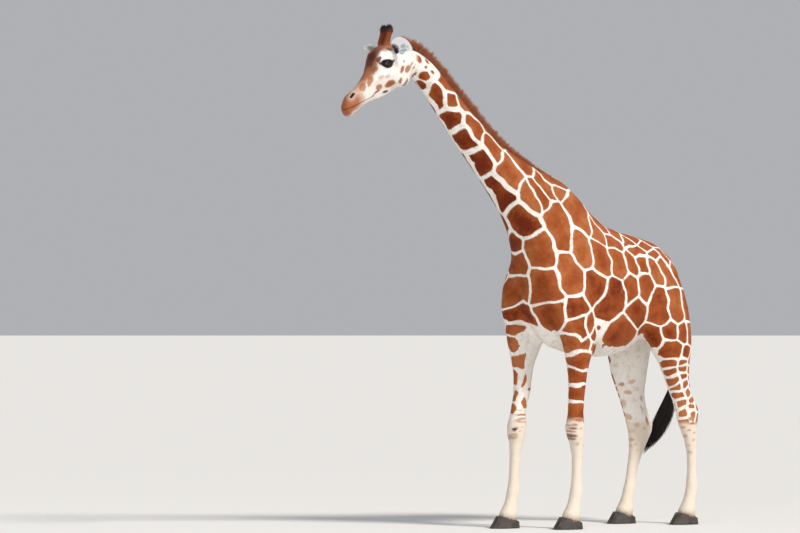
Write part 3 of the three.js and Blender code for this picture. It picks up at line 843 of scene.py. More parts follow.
# %% [markdown]
# The coat's net is a diagram of nearest places. Every chestnut patch has one or a few seeds on the skin, and
# each point of the skin belongs to the nearest seed. A cream line runs where two patches are equally near, as
# wide as the margins of both. The patches are listed row by row, by places (x, z) on the left flank.

# %% Patches of the coat
# Each row: margin in m, tone from dark 0 to light 1, patches. A patch is one place, or a list of places.
PATCH_ROWS = {
    "throat": (0.02, 0.22, [
        [(-1.62, 3.33), (-1.6, 3.22), (-1.65, 3.26)], [(-1.5, 3.15), (-1.43, 3.095)],
        [(-1.366, 3.02), (-1.32, 2.925)], [(-1.275, 2.85), (-1.19, 2.82), (-1.2, 2.755)],
        [(-1.094, 2.626), (-1.00, 2.55), (-1.03, 2.5)], [(-0.86, 2.42), (-0.81, 2.35)],
    ]),
    "nape": (0.012, 0.62, [
        [(-1.56, 3.42), (-1.5, 3.37)], (-1.49, 3.275), [(-1.303, 3.135), (-1.247, 3.046)],
        [(-1.365, 3.265), (-1.275, 3.19)], [(-1.126, 2.985), (-1.072, 2.885)], [(-1.11, 3.07), (-1.00, 2.99)],
        [(-1.00, 2.81), (-0.925, 2.68)], [(-0.87, 2.85), (-0.79, 2.79)],
    ]),
    "shoulder_slivers": (0.0085, 0.62, [
        [(-0.81, 2.6), (-0.77, 2.52)], [(-0.75, 2.63), (-0.69, 2.54)], [(-0.68, 2.67), (-0.61, 2.58)],
        (-0.52, 2.6), [(-0.58, 2.71), (-0.5, 2.68)],
    ]),
    "shoulder": (0.0125, 0.72, [
        [(-0.59, 2.44), (-0.56, 2.33), (-0.54, 2.22)], [(-0.42, 2.5), (-0.35, 2.42), (-0.27, 2.34)],
        [(-0.73, 2.18), (-0.68, 2.08)], [(-0.4, 2.21), (-0.34, 2.1)], [(-0.53, 2.03), (-0.47, 1.9)],
        [(-0.68, 1.93), (-0.665, 1.81)],
    ]),
    "lower_shoulder": (0.0115, 0.42, [
        (-0.63, 1.67), (-0.45, 1.69), [(-0.42, 1.56), (-0.39, 1.48)], (-0.31, 1.56), (-0.26, 1.5),
    ]),
    "mid_flank": (0.0105, 0.4, [
        [(-0.26, 1.9), (-0.27, 1.82)], [(-0.04, 1.84), (-0.09, 1.74), (-0.17, 1.66)],
        [(0.11, 1.9), (0.11, 1.84)], [(0.27, 1.9), (0.27, 1.82)], [(0.18, 1.7), (0.16, 1.64)],
        [(-0.06, 1.515), (0.085, 1.535)],
    ]),
    "upper_flank": (0.0095, 0.55, [
        [(-0.2, 2.15), (-0.17, 2.04)], [(-0.01, 2.12), (0.01, 2.02)], [(0.14, 2.11), (0.16, 2.03)],
        [(0.23, 2.1), (0.26, 2.02)], [(0.35, 2.04), (0.4, 1.94)], [(0.45, 2.06), (0.51, 1.97), (0.54, 1.89)],
        [(0.6, 2.03), (0.64, 1.93)],
    ]),
    "back": (0.0075, 0.62, [
        [(-0.22, 2.33), (-0.15, 2.26)], [(-0.13, 2.36), (-0.05, 2.3)], [(-0.04, 2.24), (0.03, 2.2)],
        [(0.04, 2.29), (0.1, 2.25)], [(0.14, 2.23), (0.19, 2.2)], [(0.21, 2.27), (0.27, 2.23)],
        [(0.18, 2.15), (0.24, 2.14)], [(0.31, 2.2), (0.36, 2.17)], [(0.38, 2.14), (0.42, 2.12)],
        [(0.47, 2.15), (0.53, 2.08)], [(0.38, 2.24), (0.44, 2.21)], [(0.56, 2.14), (0.62, 2.08)],
    ]),
    "thigh": (0.0095, 0.45, [
        [(0.39, 1.8), (0.38, 1.66)], [(0.54, 1.82), (0.55, 1.67)], [(0.68, 1.78), (0.69, 1.66)],
        (0.345, 1.48), (0.475, 1.51), (0.605, 1.5), (0.695, 1.5), [(0.46, 1.37), (0.54, 1.37)], (0.375, 1.37),
        (0.63, 1.33), (0.42, 1.3),
    ]),
}
SPOTS = [  # lone spots: x, z, radius, tone
    (-1.715, 3.445, 0.042, 0.35), (-1.79, 3.57, 0.034, 0.75), (-1.72, 3.515, 0.016, 0.45),
    (-1.76, 3.335, 0.04, 0.25), (-1.825, 3.52, 0.014, 0.3), (-1.845, 3.45, 0.022, 0.5),
    (-1.875, 3.55, 0.01, 0.2), (-1.7, 3.56, 0.02, 0.6), (-1.655, 3.48, 0.016, 0.5),
    (-0.21, 1.545, 0.026, 0.35),
]
FAR = 9.0  # the reach, in m, of a patch that only its neighbours bound
BREAST_PATCHES = [  # where the breast turns to the front: places, tone, reach
    ([(-0.79, 0.03, 2.03), (-0.77, 0.11, 2.05)], 0.45, FAR),
    ([(-0.76, 0.05, 1.87), (-0.75, 0.13, 1.84), (-0.74, 0.17, 1.77)], 0.55, FAR),
    ([(-0.81, 0.06, 2.19)], 0.2, FAR), ([(-0.7, 0.1, 1.665), (-0.7, 0.16, 1.66)], 0.25, FAR),
    ([(-0.717, 0.135, 1.53)], 0.5, 0.095), ([(-0.725, 0.165, 1.425)], 0.6, 0.07),
    ([(-0.67, 0.145, 1.28)], 0.75, 0.095), ([(-0.7, 0.195, 1.16)], 0.7, 0.06),
    ([(-0.636, 0.135, 1.125)], 0.75, 0.085), ([(-0.694, 0.188, 1.015)], 0.7, 0.066),
    ([(-0.622, 0.138, 0.985)], 0.7, 0.076), ([(-0.708, 0.187, 0.925)], 0.65, 0.045),
    *[([(x, 0.108, z)], 0, 0) for x, z in ((-0.545, 1.42), (-0.54, 1.28), (-0.535, 1.13), (-0.535, 1.00))],
]
print("patches of the side:", sum(len(patches) for _, _, patches in PATCH_ROWS.values()), "spots:", len(SPOTS))

# %% [markdown]
# A level ray from outside carries each place to the skin. A long patch gets more seeds between its own, so
# that its sides run on without a step. The right side takes the same patches, moved a little at random,
# because no animal's two sides agree, and on the legs every seed moves with the stride.

# %% Seeds on the skin
SEED_SPACING = 0.045
SPOT_MARGIN = 0.004
BREAST_MARGIN = 0.01
JITTER = 0.018  # metres, between the two sides
OUTSIDE = 0.8  # metres from the middle plane, where the rays start
THIGH_TOP = 1.25  # above this height, seeds don't follow the leg's lean

skin_tree = tree_of(skin.data)
body = in_body(skin.data)
leg_axes = {(pair, side): leg_axis(body, pair, side) for pair, side in LEGS}
seeds = []  # x, y, z, patch number, margin, tone, reach


def leg_middle(pair, side, z):
    heights, middle_x = leg_axes[pair, side][:2]
    return np.interp(z, heights, middle_x)


def on_flank(x, z, side):
    """The skin point that a level line across the body meets first, from the outside."""
    start = BODY_ORIGIN + Vector((x, side * OUTSIDE, z))
    hit, _, _, _ = skin_tree.ray_cast(start, Vector((0, -side, 0)))
    if hit is None:
        hit = skin_tree.find_nearest(BODY_ORIGIN + Vector((x, 0.05 * side, z)))[0]
    return np.array(hit - BODY_ORIGIN)


def stride_shift(x, z, side):
    """How far a seed given on the left side moves with the leg's own place in the stride."""
    pair = "fore" if x < -0.15 else "hind"
    height = min(z, THIGH_TOP)
    shift = leg_middle(pair, side, height) - leg_middle(pair, -1, height)
    return shift * float(1 - ramp(1.4, 1.85, z))


def drawn_out(points):
    """The points of a patch, with others between them where they stand far apart."""
    line = [np.array(points[0], float)]
    for end in points[1:]:
        start = line[-1]
        steps = math.ceil(math.dist(start, end) / SEED_SPACING)
        line += [start + (np.array(end) - start) * (step + 1) / steps for step in range(steps)]
    return line


def next_patch():
    return 1 + (seeds[-1][3] if seeds else 0)


def add_patch(points, margin, tone, reach, side):
    number = next_patch()
    for x, z in drawn_out(points):
        place = on_flank(x + stride_shift(x, z, side), z, side)
        seeds.append([*place, number, margin, tone, reach])


def on_breast(x, z):
    """Whether the right side has patches of its own here, which the breast's list gives."""
    return x < -0.68 and 1.6 < z < 2.3


for margin, tone, patches in PATCH_ROWS.values():
    for patch in patches:
        points = patch if isinstance(patch, list) else [patch]
        for side in BOTH:
            offset = rng.normal(0, JITTER, 2) if side > 0 else np.zeros(2)
            own_tone = tone + rng.normal(0, 0.08)
            if side > 0 and on_breast(*points[0]):
                continue
            add_patch([(x + offset[0], z + offset[1]) for x, z in points], margin, own_tone, FAR, side)
for x, z, radius, tone in SPOTS:
    for side in BOTH:
        add_patch([(x, z)], SPOT_MARGIN, tone, radius, side)
for points, tone, reach in BREAST_PATCHES:
    number = next_patch()
    for point in drawn_out(points):
        place = skin_tree.find_nearest(BODY_ORIGIN + Vector(point))[0] - BODY_ORIGIN
        seeds.append([*place, number, BREAST_MARGIN, tone, reach])
print("seeds on the body:", len(seeds))

# %% [markdown]
# Down the legs the patches become bands: blocks on the forearm, and two columns of narrow bars on the thigh
# that grow smaller and paler towards the hock. A loop lays them along each leg's axis.

# %% Bands of the legs
FOREARM_BLOCKS = [(1.44, -0.03), (1.29, 0.03), (1.165, 0), (1.035, 0), (0.915, 0)]  # height, aft of the axis
FOREARM_BACK = [(1.4, 0.11), (1.07, 0.075)]
BLOCK_HALF = 0.035
BLOCK_MARGIN = 0.012
BARS_TOP = 1.26
BARS_END = 0.78
BAR_STEP = 0.06
BAR_LEADS = 0.029  # metres that the hind column stands higher than the front one


def add_forearm_blocks(side):
    for z, aft in FOREARM_BLOCKS:
        if side > 0 and z < 0.95:
            continue
        reach = 0.1 if side > 0 and z < 1.1 else FAR
        x = leg_middle("fore", side, min(z, THIGH_TOP)) + aft
        number = next_patch()
        for dx in (-BLOCK_HALF, BLOCK_HALF):
            place = on_flank(x + dx, z + float(rng.normal(0, 0.006)), side)
            seeds.append([*place, number, BLOCK_MARGIN, 0.55 + rng.normal(0, 0.06), reach])
    for z, aft in FOREARM_BACK:
        x = leg_middle("fore", side, min(z, THIGH_TOP)) + aft
        seeds.append([*on_flank(x, z, side), next_patch(), 0.01, 0.5, FAR])


def add_thigh_bars(side):
    z = BARS_TOP
    row = 0
    while z > BARS_END:
        heights, _, _, half_x, _ = leg_axes["hind", side]
        half = float(np.interp(z, heights, half_x))
        fade = (BARS_TOP - z) / (BARS_TOP - BARS_END)
        for column, dx in enumerate((-0.55, 0.22)):
            x = leg_middle("hind", side, z) + dx * half
            place = on_flank(x, z + BAR_LEADS * column + float(rng.normal(0, 0.005)), side)
            tone = 0.55 + 0.55 * fade + rng.normal(0, 0.08)
            seeds.append([*place, next_patch(), 0.0095 + 0.0045 * fade, tone, 0.11])
        x = leg_middle("hind", side, z) + 0.85 * half
        seeds.append([*on_flank(x, z + 0.02, side), next_patch(), 0.008, 0.7, 0.07])
        z -= BAR_STEP + 0.004 * (row % 2)
        row += 1


for side in BOTH:
    add_forearm_blocks(side)
    add_thigh_bars(side)
seeds = np.array(seeds)
print("seeds in all:", len(seeds), "patches:", len(np.unique(seeds[:, 3])))

# %% [markdown]
# Each point of skin gets its signed distance from the edge of its patch, in metres: positive in the patch and
# negative in a cream line. Straight borders would look drawn with a ruler, so the point is first moved by a
# few slow waves, and a soft minimum rounds the corners. Between two seeds of one patch both count, which
# keeps its border from bending there. The same function colours every tuft of the coat.

# %% Distance to the net of lines
CORNER = 0.003
CHUNK = 6000  # points at a time, to spare memory
NET_BAND = (-0.026, 0.0145)  # the distances at which the skin needs smaller faces
WAVES = [
    (rng.normal(0, 1, 3), rng.normal(0, 1, 3), rng.uniform(0, 2 * math.pi), length)
    for length in (0.2, 0.2, 0.13, 0.13, 0.08)
]


def wandering(places, size=0.045):
    """The places moved by slow waves, further where the waves are longer."""
    moved = places.copy()
    for direction, push, start, length in WAVES:
        phase = places @ unit(direction) * 2 * math.pi / length + start
        moved += np.sin(phase)[:, None] * unit(push) * size * length
    return moved


def net_of(places):
    """Signed distance from the patch's edge, and the patch's tone, at each body place."""
    moved = wandering(places)
    net, tone = np.empty((2, len(places)))
    spread = norm(seeds[:, None, :3] - seeds[None, :, :3], axis=2) + 1e-6
    same = seeds[:, None, 3] == seeds[None, :, 3]
    for start in range(0, len(places), CHUNK):
        part = moved[start : start + CHUNK]
        squared = (part**2).sum(axis=1)[:, None] + (seeds[:, :3] ** 2).sum(axis=1) - 2 * part @ seeds[:, :3].T
        squared = np.maximum(squared, 0)
        own = squared.argmin(axis=1)
        rows = np.arange(len(part))
        nearest = squared[rows, own]
        kin = same[own]
        kin_squared = np.where(kin, squared, np.inf)
        kin_squared[rows, own] = np.inf
        second = kin_squared.argmin(axis=1)
        beyond = kin_squared[rows, second] - nearest
        share = 0.5 * (1 - ramp(0, 0.05, beyond / (2 * spread[own, second] + 1e-6)))[:, None]
        gaps = (squared - nearest[:, None]) / (2 * (spread[own] * (1 - share) + spread[second] * share))
        gaps[kin] = 1.0
        soft = -CORNER * np.log(np.exp(-gaps / CORNER).sum(axis=1))
        margin, own_tone, reach = seeds[own, 4:].T
        net[start : start + CHUNK] = np.minimum(soft - margin, reach - np.sqrt(nearest))
        tone[start : start + CHUNK] = own_tone
    return net, tone


body = in_body(skin.data)
net, _ = net_of(body)
coarse = (head_share(body) < 0.5) & (body[:, 2] > LEGS_BELOW)
quarter_faces(skin, coarse & (net > NET_BAND[0]) & (net < NET_BAND[1]))


def triangles_of(piece):
    return sum(len(polygon.vertices) - 2 for polygon in piece.data.polygons)


print("skin ready for its markings:", triangles_of(skin), "triangles")

# %% [markdown]
# The face, the ears and the legs have marks that no net explains: a dark forehead, spots on the cheek, a tan
# muzzle, black round the eye, bars on the knee. We paint them as soft dabs, in a few colours of hair, and in
# two greys that are painted shade inside the ear.

# %% Colours of the marks
CREAM = (0.78, 0.71, 0.64)
WHITE = (0.88, 0.88, 0.88)
LEG_CREAM = (0.74, 0.64, 0.53)
TAN = (0.37, 0.15, 0.072)
ORANGE = (0.36, 0.115, 0.04)
APRICOT = (0.46, 0.215, 0.105)
PEACH = (0.6, 0.375, 0.24)
BROWN = (0.28, 0.08, 0.028)
RED_BROWN = (0.15, 0.032, 0.01)
RUST = (0.25, 0.056, 0.019)
DARK = (0.055, 0.015, 0.007)
# The next two greys are painted shade: the ear's white hair in the shadow of its cup.
EAR_SHADE_GREY = (0.34, 0.33, 0.33)
EAR_SHADE_SLATE = (0.15, 0.18, 0.22)
MUZZLE = (0.34, 0.11, 0.045)
BLACK = (0.018, 0.013, 0.011)
print("darkest and palest hair:", BLACK, WHITE)

# %% [markdown]
# A dab on the face is an ellipsoid round a place in the body, long along the head and narrow across it. Dabs
# further down the list cover earlier ones. Each is used on both sides, but the ear's few are for the left one.

# %% Marks of the face and ears
# Each dab: colour, (x, outward, z), length, width, slant in degrees, strength.
FACE_DABS = [
    (BROWN, (-2.18, 0.0, 3.5), 0.17, 0.06, 62, 0.9),
    (RED_BROWN, (-2.13, 0.0, 3.6), 0.1, 0.06, 62, 0.85),
    (DARK, (-2.178, 0.0, 3.55), 0.085, 0.036, 62, 0.7),
    (RED_BROWN, (-2.215, 0.0, 3.455), 0.11, 0.03, 62, 0.75),
    (BROWN, (-2.09, 0.035, 3.625), 0.06, 0.03, 62, 0.55),
    (TAN, (-2.245, 0.0, 3.395), 0.13, 0.05, 50, 0.75),
    (MUZZLE, (-2.37, 0.0, 3.21), 0.105, 0.075, 50, 1.0),
    (MUZZLE, (-2.33, 0.0, 3.25), 0.09, 0.09, 50, 0.6),
    (WHITE, (-2.085, 0.12, 3.575), 0.06, 0.026, 5, 0.95),
    (WHITE, (-2.06, 0.11, 3.455), 0.085, 0.03, 15, 0.8),
    (WHITE, (-1.94, 0.1, 3.56), 0.07, 0.05, 0, 0.7),
    (BROWN, (-1.944, 0.1, 3.471), 0.032, 0.019, 70, 0.9),
    (ORANGE, (-1.884, 0.09, 3.48), 0.04, 0.028, 65, 0.85),
    (ORANGE, (-2.028, 0.07, 3.362), 0.041, 0.034, 28, 0.95),
    (BROWN, (-2.028, 0.07, 3.359), 0.028, 0.02, 28, 0.6),
    (ORANGE, (-2.118, 0.06, 3.337), 0.036, 0.026, 8, 0.85),
    (ORANGE, (-2.21, 0.07, 3.378), 0.045, 0.022, 75, 0.85),
    (ORANGE, (-2.265, 0.05, 3.336), 0.034, 0.027, 60, 0.8),
    (BROWN, (-1.957, 0.09, 3.394), 0.026, 0.014, 70, 0.9),
    (BROWN, (-1.927, 0.1, 3.539), 0.013, 0.009, 0, 0.8),
    (BROWN, (-2.18, 0.075, 3.468), 0.028, 0.012, 50, 0.75),
    (BROWN, (-1.852, 0.09, 3.527), 0.018, 0.009, 60, 0.7),
    (BROWN, (-1.823, 0.08, 3.498), 0.016, 0.008, 70, 0.7),
    (RED_BROWN, (-1.795, 0.06, 3.441), 0.034, 0.012, 75, 0.7),
    (TAN, (-2.07, 0.1, 3.42), 0.03, 0.018, 20, 0.42),
    (TAN, (-2.13, 0.09, 3.41), 0.024, 0.015, 10, 0.4),
    (DARK, (-2.128, 0.045, 3.303), 0.028, 0.007, 16, 0.9),
    (DARK, (-2.044, 0.04, 3.306), 0.03, 0.011, 18, 0.9),
    (BROWN, (-2.16, 0.045, 3.285), 0.03, 0.006, 24, 0.7),
    (DARK, (-1.905, 0.07, 3.385), 0.035, 0.012, 50, 0.7),
    (RED_BROWN, (-2.145, 0.095, 3.54), 0.03, 0.016, 60, 0.9),
    (BLACK, (-2.135, 0.1, 3.51), 0.022, 0.012, 10, 0.9),
    (BLACK, (-2.082, 0.11, 3.513), 0.058, 0.033, 4, 1.0),
    (DARK, (-2.03, 0.105, 3.528), 0.026, 0.012, 20, 0.8),
    (RUST, (-2.036, 0.04, 3.73), 0.09, 0.06, 90, 1.0),
    (BROWN, (-2.056, 0.05, 3.645), 0.04, 0.05, 90, 0.75),
    (DARK, (-2.05, 0.04, 3.785), 0.034, 0.035, 90, 0.5),
    (CREAM, (-2.3, 0.0, 3.135), 0.12, 0.028, 24, 0.85),
    (BROWN, (-2.385, 0.0, 3.14), 0.035, 0.03, 40, 0.6),
]
FLECKS_BY_EAR = [(-2.04, 3.655), (-2.025, 3.63), (-2.02, 3.602), (-2.05, 3.625), (-2.005, 3.64)]
for step, (x, z) in enumerate(FLECKS_BY_EAR):
    FACE_DABS.append((DARK, (x, 0.085, z), 0.012, 0.007, 40 + 25 * step, 0.8))
EAR_DABS_AND_SHADE = [
    (BLACK, (-2.032, 0.105, 3.654), 0.022, 0.008, -50, 0.9),
    (BLACK, (-2.006, 0.11, 3.622), 0.026, 0.013, -58, 0.95),
    (DARK, (-2.012, 0.103, 3.596), 0.018, 0.008, 0, 0.8),
    # The slate dabs are painted shade, the blue-grey of white hair in the ear's cup; the dark ones above are
    # hair.
    (EAR_SHADE_SLATE, (-1.984, 0.168, 3.65), 0.018, 0.014, 0, 0.55),
    (EAR_SHADE_SLATE, (-1.976, 0.186, 3.622), 0.012, 0.01, 0, 0.6),
    (EAR_SHADE_SLATE, (-1.988, 0.138, 3.59), 0.02, 0.008, 10, 0.75),
    (EAR_SHADE_SLATE, (-1.981, 0.154, 3.62), 0.01, 0.014, 0, 0.5),
    (EAR_SHADE_SLATE, (-1.984, 0.172, 3.598), 0.012, 0.01, 0, 0.65),
    (EAR_SHADE_SLATE, (-1.97, 0.205, 3.642), 0.01, 0.01, 0, 0.4),
]
print("dabs on the face:", len(FACE_DABS), "on the ear:", len(EAR_DABS_AND_SHADE))

# %% [markdown]
# A mark on a leg is given by its height and by how far aft of the leg's axis it lies, so that it stays in
# place on the skin wherever the stride has set the leg. The spots on the hind legs are given by x instead.

# %% Marks of the legs
# Each dab: aft of the leg's axis, height, vertical reach, width, colour, strength. A dab of FORE_RINGS is only
# a height. Of a hind leg's spots, the first number is x.
FORE_RINGS = (0.905, 0.878, 0.85, 0.824)
LEG_DABS = {
    ("fore", 1): [
        (-0.05, 0.757, 0.015, 0.02, DARK, 0.95), (-0.035, 0.772, 0.01, 0.02, BROWN, 0.5),
        (-0.045, 0.712, 0.024, 0.028, BROWN, 0.5), (-0.005, 0.745, 0.01, 0.016, TAN, 0.4),
        (0.01, 0.785, 0.008, 0.018, TAN, 0.35), (0.0, 0.872, 0.01, 0.06, ORANGE, 0.6),
        (-0.02, 0.84, 0.008, 0.05, TAN, 0.5),
        *[(-0.01, height, 0.006, 0.06, ORANGE, 0.6) for height in FORE_RINGS],
    ],
    ("fore", -1): [
        (-0.02, 0.84, 0.018, 0.045, ORANGE, 0.8), (0.04, 0.835, 0.012, 0.03, BROWN, 0.6),
        (-0.055, 0.802, 0.011, 0.038, BROWN, 0.75), (-0.05, 0.777, 0.009, 0.038, RED_BROWN, 0.8),
        (-0.055, 0.752, 0.009, 0.036, BROWN, 0.75), (-0.05, 0.716, 0.015, 0.04, RED_BROWN, 0.85),
        (-0.055, 0.69, 0.01, 0.03, DARK, 0.7), (-0.025, 0.655, 0.016, 0.02, ORANGE, 0.45),
        (0.045, 0.644, 0.01, 0.012, ORANGE, 0.45), (0.01, 0.775, 0.01, 0.02, BROWN, 0.4),
    ],
    ("hind", 1): [
        (0.325, 1.105, 0.024, 0.024, APRICOT, 0.7), (0.405, 1.126, 0.018, 0.05, PEACH, 0.6),
        (0.383, 1.034, 0.026, 0.036, PEACH, 0.7), (0.456, 1.064, 0.014, 0.045, PEACH, 0.45),
        (0.366, 0.953, 0.032, 0.026, PEACH, 0.6), (0.458, 0.965, 0.02, 0.03, PEACH, 0.4),
        (0.519, 0.995, 0.034, 0.018, PEACH, 0.75), (0.529, 0.905, 0.03, 0.018, PEACH, 0.65),
        (0.583, 0.815, 0.04, 0.018, APRICOT, 0.8), (0.408, 0.848, 0.034, 0.03, PEACH, 0.65),
        (0.482, 0.774, 0.03, 0.026, PEACH, 0.6), (0.548, 0.748, 0.02, 0.016, PEACH, 0.6),
        (0.446, 0.725, 0.016, 0.034, PEACH, 0.45), (0.444, 0.663, 0.013, 0.026, APRICOT, 0.6),
        (0.442, 0.613, 0.011, 0.02, APRICOT, 0.55), (0.482, 0.626, 0.013, 0.018, PEACH, 0.55),
        (0.497, 0.582, 0.012, 0.016, PEACH, 0.5),
    ],
    ("hind", -1): [
        (0.715, 0.84, 0.017, 0.034, APRICOT, 0.7), (0.735, 0.803, 0.013, 0.032, ORANGE, 0.75),
        (0.661, 0.76, 0.013, 0.018, APRICOT, 0.65), (0.709, 0.735, 0.012, 0.022, APRICOT, 0.65),
        (0.755, 0.717, 0.012, 0.016, ORANGE, 0.55), (0.687, 0.69, 0.012, 0.014, ORANGE, 0.55),
        (0.752, 0.656, 0.012, 0.018, APRICOT, 0.6), (0.721, 0.625, 0.009, 0.016, APRICOT, 0.5),
        (0.735, 0.57, 0.013, 0.014, APRICOT, 0.5),
    ],
}
for side in BOTH:
    LEG_DABS["hind", side] = [
        (x - leg_middle("hind", side, height), height, *rest) for x, height, *rest in LEG_DABS["hind", side]
    ]
print("dabs on the legs:", sum(len(dabs) for dabs in LEG_DABS.values()))

# %% [markdown]
# The paint is kept on the skin's points as a colour whose alpha says how much of the coat it hides, and two
# more values keep the net's distance and the patch's tone. What is an ear or the tail is told by how near
# the solid is. On the inner side of the legs the lines widen until hardly any brown is left.

# %% Painted marks
EAR_TREES = {side: tree_of_solids([f"ear_{name}"]) for name, side in SIDES.items()}
TAIL_TREE = tree_of_solids(["tail"])
NOSTRIL_DEPTH = np.array([0.008, 0.011, -0.002])
TASSEL_STARTS = 1.235
EAR_ROOT = np.array([-2.018, 0.09, 3.622])


def ragged(places):
    """About -1 to 1, in waves as short as hair."""
    waves = ((520, 110, 260), (-210, 480, 330), (150, -390, 560))
    return sum(np.sin(places @ np.array(wave, float)) for wave in waves) / 2


def dab_cover(places, centre, length, width, slant):
    """1 inside an ellipsoid, falling softly to 0 past its edge."""
    cosine, sine = math.cos(math.radians(slant)), math.sin(math.radians(slant))
    x, y, z = (places - np.array(centre, float)).T
    lengthwise, crosswise = x * cosine + z * sine, -x * sine + z * cosine
    reach = max(1.5 * width, 0.06) if centre[1] == 0 else 1.5 * max(length, width)
    distance = np.sqrt((lengthwise / length) ** 2 + (crosswise / width) ** 2 + (y / reach) ** 2)
    inner, outer = (0.7, 1.16) if length > 0.06 else (0.86, 1.06)
    return 1 - ramp(inner, outer, distance + 0.05 * ragged(places))


def covered(paint, colour, share):
    """The paint with a colour laid over it."""
    alpha = share + paint[:, 3] * (1 - share)
    kept = (paint[:, 3] * (1 - share))[:, None]
    mixed = np.array(colour) * share[:, None] + paint[:, :3] * kept
    paint[:, :3] = mixed / np.maximum(alpha, 1e-6)[:, None]
    paint[:, 3] = alpha


def near_solid(tree, places, wanted, reach):
    """1 for the wanted places that lie this near to a solid."""
    result = np.zeros(len(places))
    for index in np.flatnonzero(wanted):
        result[index] = tree.find_nearest(BODY_ORIGIN + Vector(places[index]))[3] < reach
    return result


def share_of_ear(places):
    """1 on the ears, away from the skull."""
    x, y, z = places.T
    near = (abs(y) > 0.07) & (z > 3.5) & (x > -2.12)
    return sum(near_solid(tree, places, near & (y * side > 0), 0.005) for side, tree in EAR_TREES.items())


def share_of_tail(places):
    x, y, z = places.T
    return near_solid(TAIL_TREE, places, (x > 0.6) & (abs(y) < 0.2) & (z > 0.8), 0.006)


def paint_face(places, upright):
    """The face's paint over cream, with painted shade in the nostrils and in the crease of the lips."""
    paint = np.zeros((len(places), 4))
    covered(paint, CREAM, head_share(places))
    for colour, centre, length, width, slant, strength in FACE_DABS:
        covered(paint, colour, strength * dab_cover(upright, centre, length, width, slant))
    for side in BOTH:
        line = nostril_line(side)
        deeper = [point + mirrored(NOSTRIL_DEPTH, side) for point in line]
        covered(paint, CREAM, 0.55 * near_line(places, line, 0.026))
        # Black along the slit and down into it: the nostril's dark skin, and painted shade of its hollow.
        covered(paint, BLACK, np.minimum(1.6 * near_line(places, line, 0.008), 1))
        covered(paint, BLACK, np.minimum(1.9 * near_line(places, deeper, 0.0095), 1))
    unshifted = abs(places) * (-1, 1, 1)
    covered(paint, BLACK, dab_cover(unshifted, NOSTRIL * (1, -1, 1), 0.028, 0.0085, 48))
    # Dark where the lips meet: their dark skin, and painted shade of the crease.
    covered(paint, DARK, 0.8 * near_lips(places, 0.003))
    return paint


def paint_ears(paint, places, normals, upright):
    ear = share_of_ear(places)
    far_ear = places[:, 1] > 0
    facing = normals @ np.array([-0.75, 0, 0.0]) + abs(normals[:, 1]) * 0.1
    from_root = norm(upright - EAR_ROOT, axis=1)
    inner = ear * ramp(0.05, 0.45, facing)
    # Dark hair at each ear's root; the far ear's dark reaches three times further, and that extra is painted
    # shade.
    dark_and_shade_reach = np.where(far_ear, 0.15, 0.05)
    covered(paint, WHITE, ear)
    # Grey on the forward-facing inner side: painted shade in the ear's cup.
    covered(paint, EAR_SHADE_GREY, inner * 0.12 * (1 - ramp(0.08, 0.17, from_root)))
    covered(paint, DARK, inner * 0.75 * (1 - ramp(0.75, 1.1, from_root / dark_and_shade_reach)))
    near_ear = np.flatnonzero((ear > 0) & ~far_ear)
    part = paint[near_ear]
    frayed = upright[near_ear] + 0.0035 * ragged(places[near_ear])[:, None]
    for colour, centre, length, width, slant, strength in EAR_DABS_AND_SHADE:
        covered(part, colour, strength * dab_cover(frayed, centre, length, width, slant))
    paint[near_ear] = part


def paint_leg(paint, places, normals, wavy, pair, side):
    own = np.flatnonzero(leg_points(places, pair, side))
    aft = wavy[own, 0] - leg_middle(pair, side, places[own, 2])
    height = wavy[own, 2]
    seen = 1 if pair == "fore" else ramp(-0.4, 0.2, -normals[own, 1])
    fade_from = 0.9 if pair == "fore" else 0.86
    part = paint[own]
    covered(part, LEG_CREAM, 1 - ramp(fade_from - 0.12, fade_from, height))
    for x, z, rise, width, colour, strength in LEG_DABS[pair, side]:
        distance = np.sqrt(((aft - x) / width) ** 2 + ((height - z) / rise) ** 2)
        covered(part, colour, strength * seen * (1 - ramp(0.6, 1.15, distance)))
    covered(part, BROWN, 0.35 * (1 - ramp(0.075, 0.13, places[own, 2])))
    paint[own] = part


def paint_of(places, normals):
    """The painted marks at each body place: red, green, blue and how much of the coat they hide."""
    paint = np.zeros((len(places), 4))
    wavy = wandering(places, 0.03)
    upright = np.stack([wavy[:, 0], abs(wavy[:, 1]), wavy[:, 2]], axis=1)
    near_head = np.flatnonzero(places[:, 0] < -1.7)
    paint[near_head] = paint_face(places[near_head], upright[near_head])
    paint_ears(paint, places, normals, upright)
    tail = share_of_tail(places)
    above_tassel = places[:, 2] - TASSEL_STARTS + 0.01 * ragged(places)
    covered(paint, BROWN, tail * 0.85)
    covered(paint, BLACK, tail * (1 - ramp(0.045, 0.11, above_tassel)))
    for pair, side in LEGS:
        paint_leg(paint, places, normals, wavy, pair, side)
    return paint


def inner_share(places, normals):
    """1 where a leg's skin faces the other leg, and on the underside of the trunk."""
    _, y, z = places.T
    inward = ramp(0.0, 0.55, -normals[:, 1] * np.sign(y)) * (1 - ramp(1.42, 1.6, z))
    under = ramp(0.42, 0.85, -normals[:, 2]) * (1 - ramp(1.5, 1.62, z))
    breast = (1 - ramp(0.06, 0.13, abs(y))) * (1 - ramp(1.5, 1.66, z)) * (z > 1.2)
    return np.maximum(np.maximum(inward, under), breast)


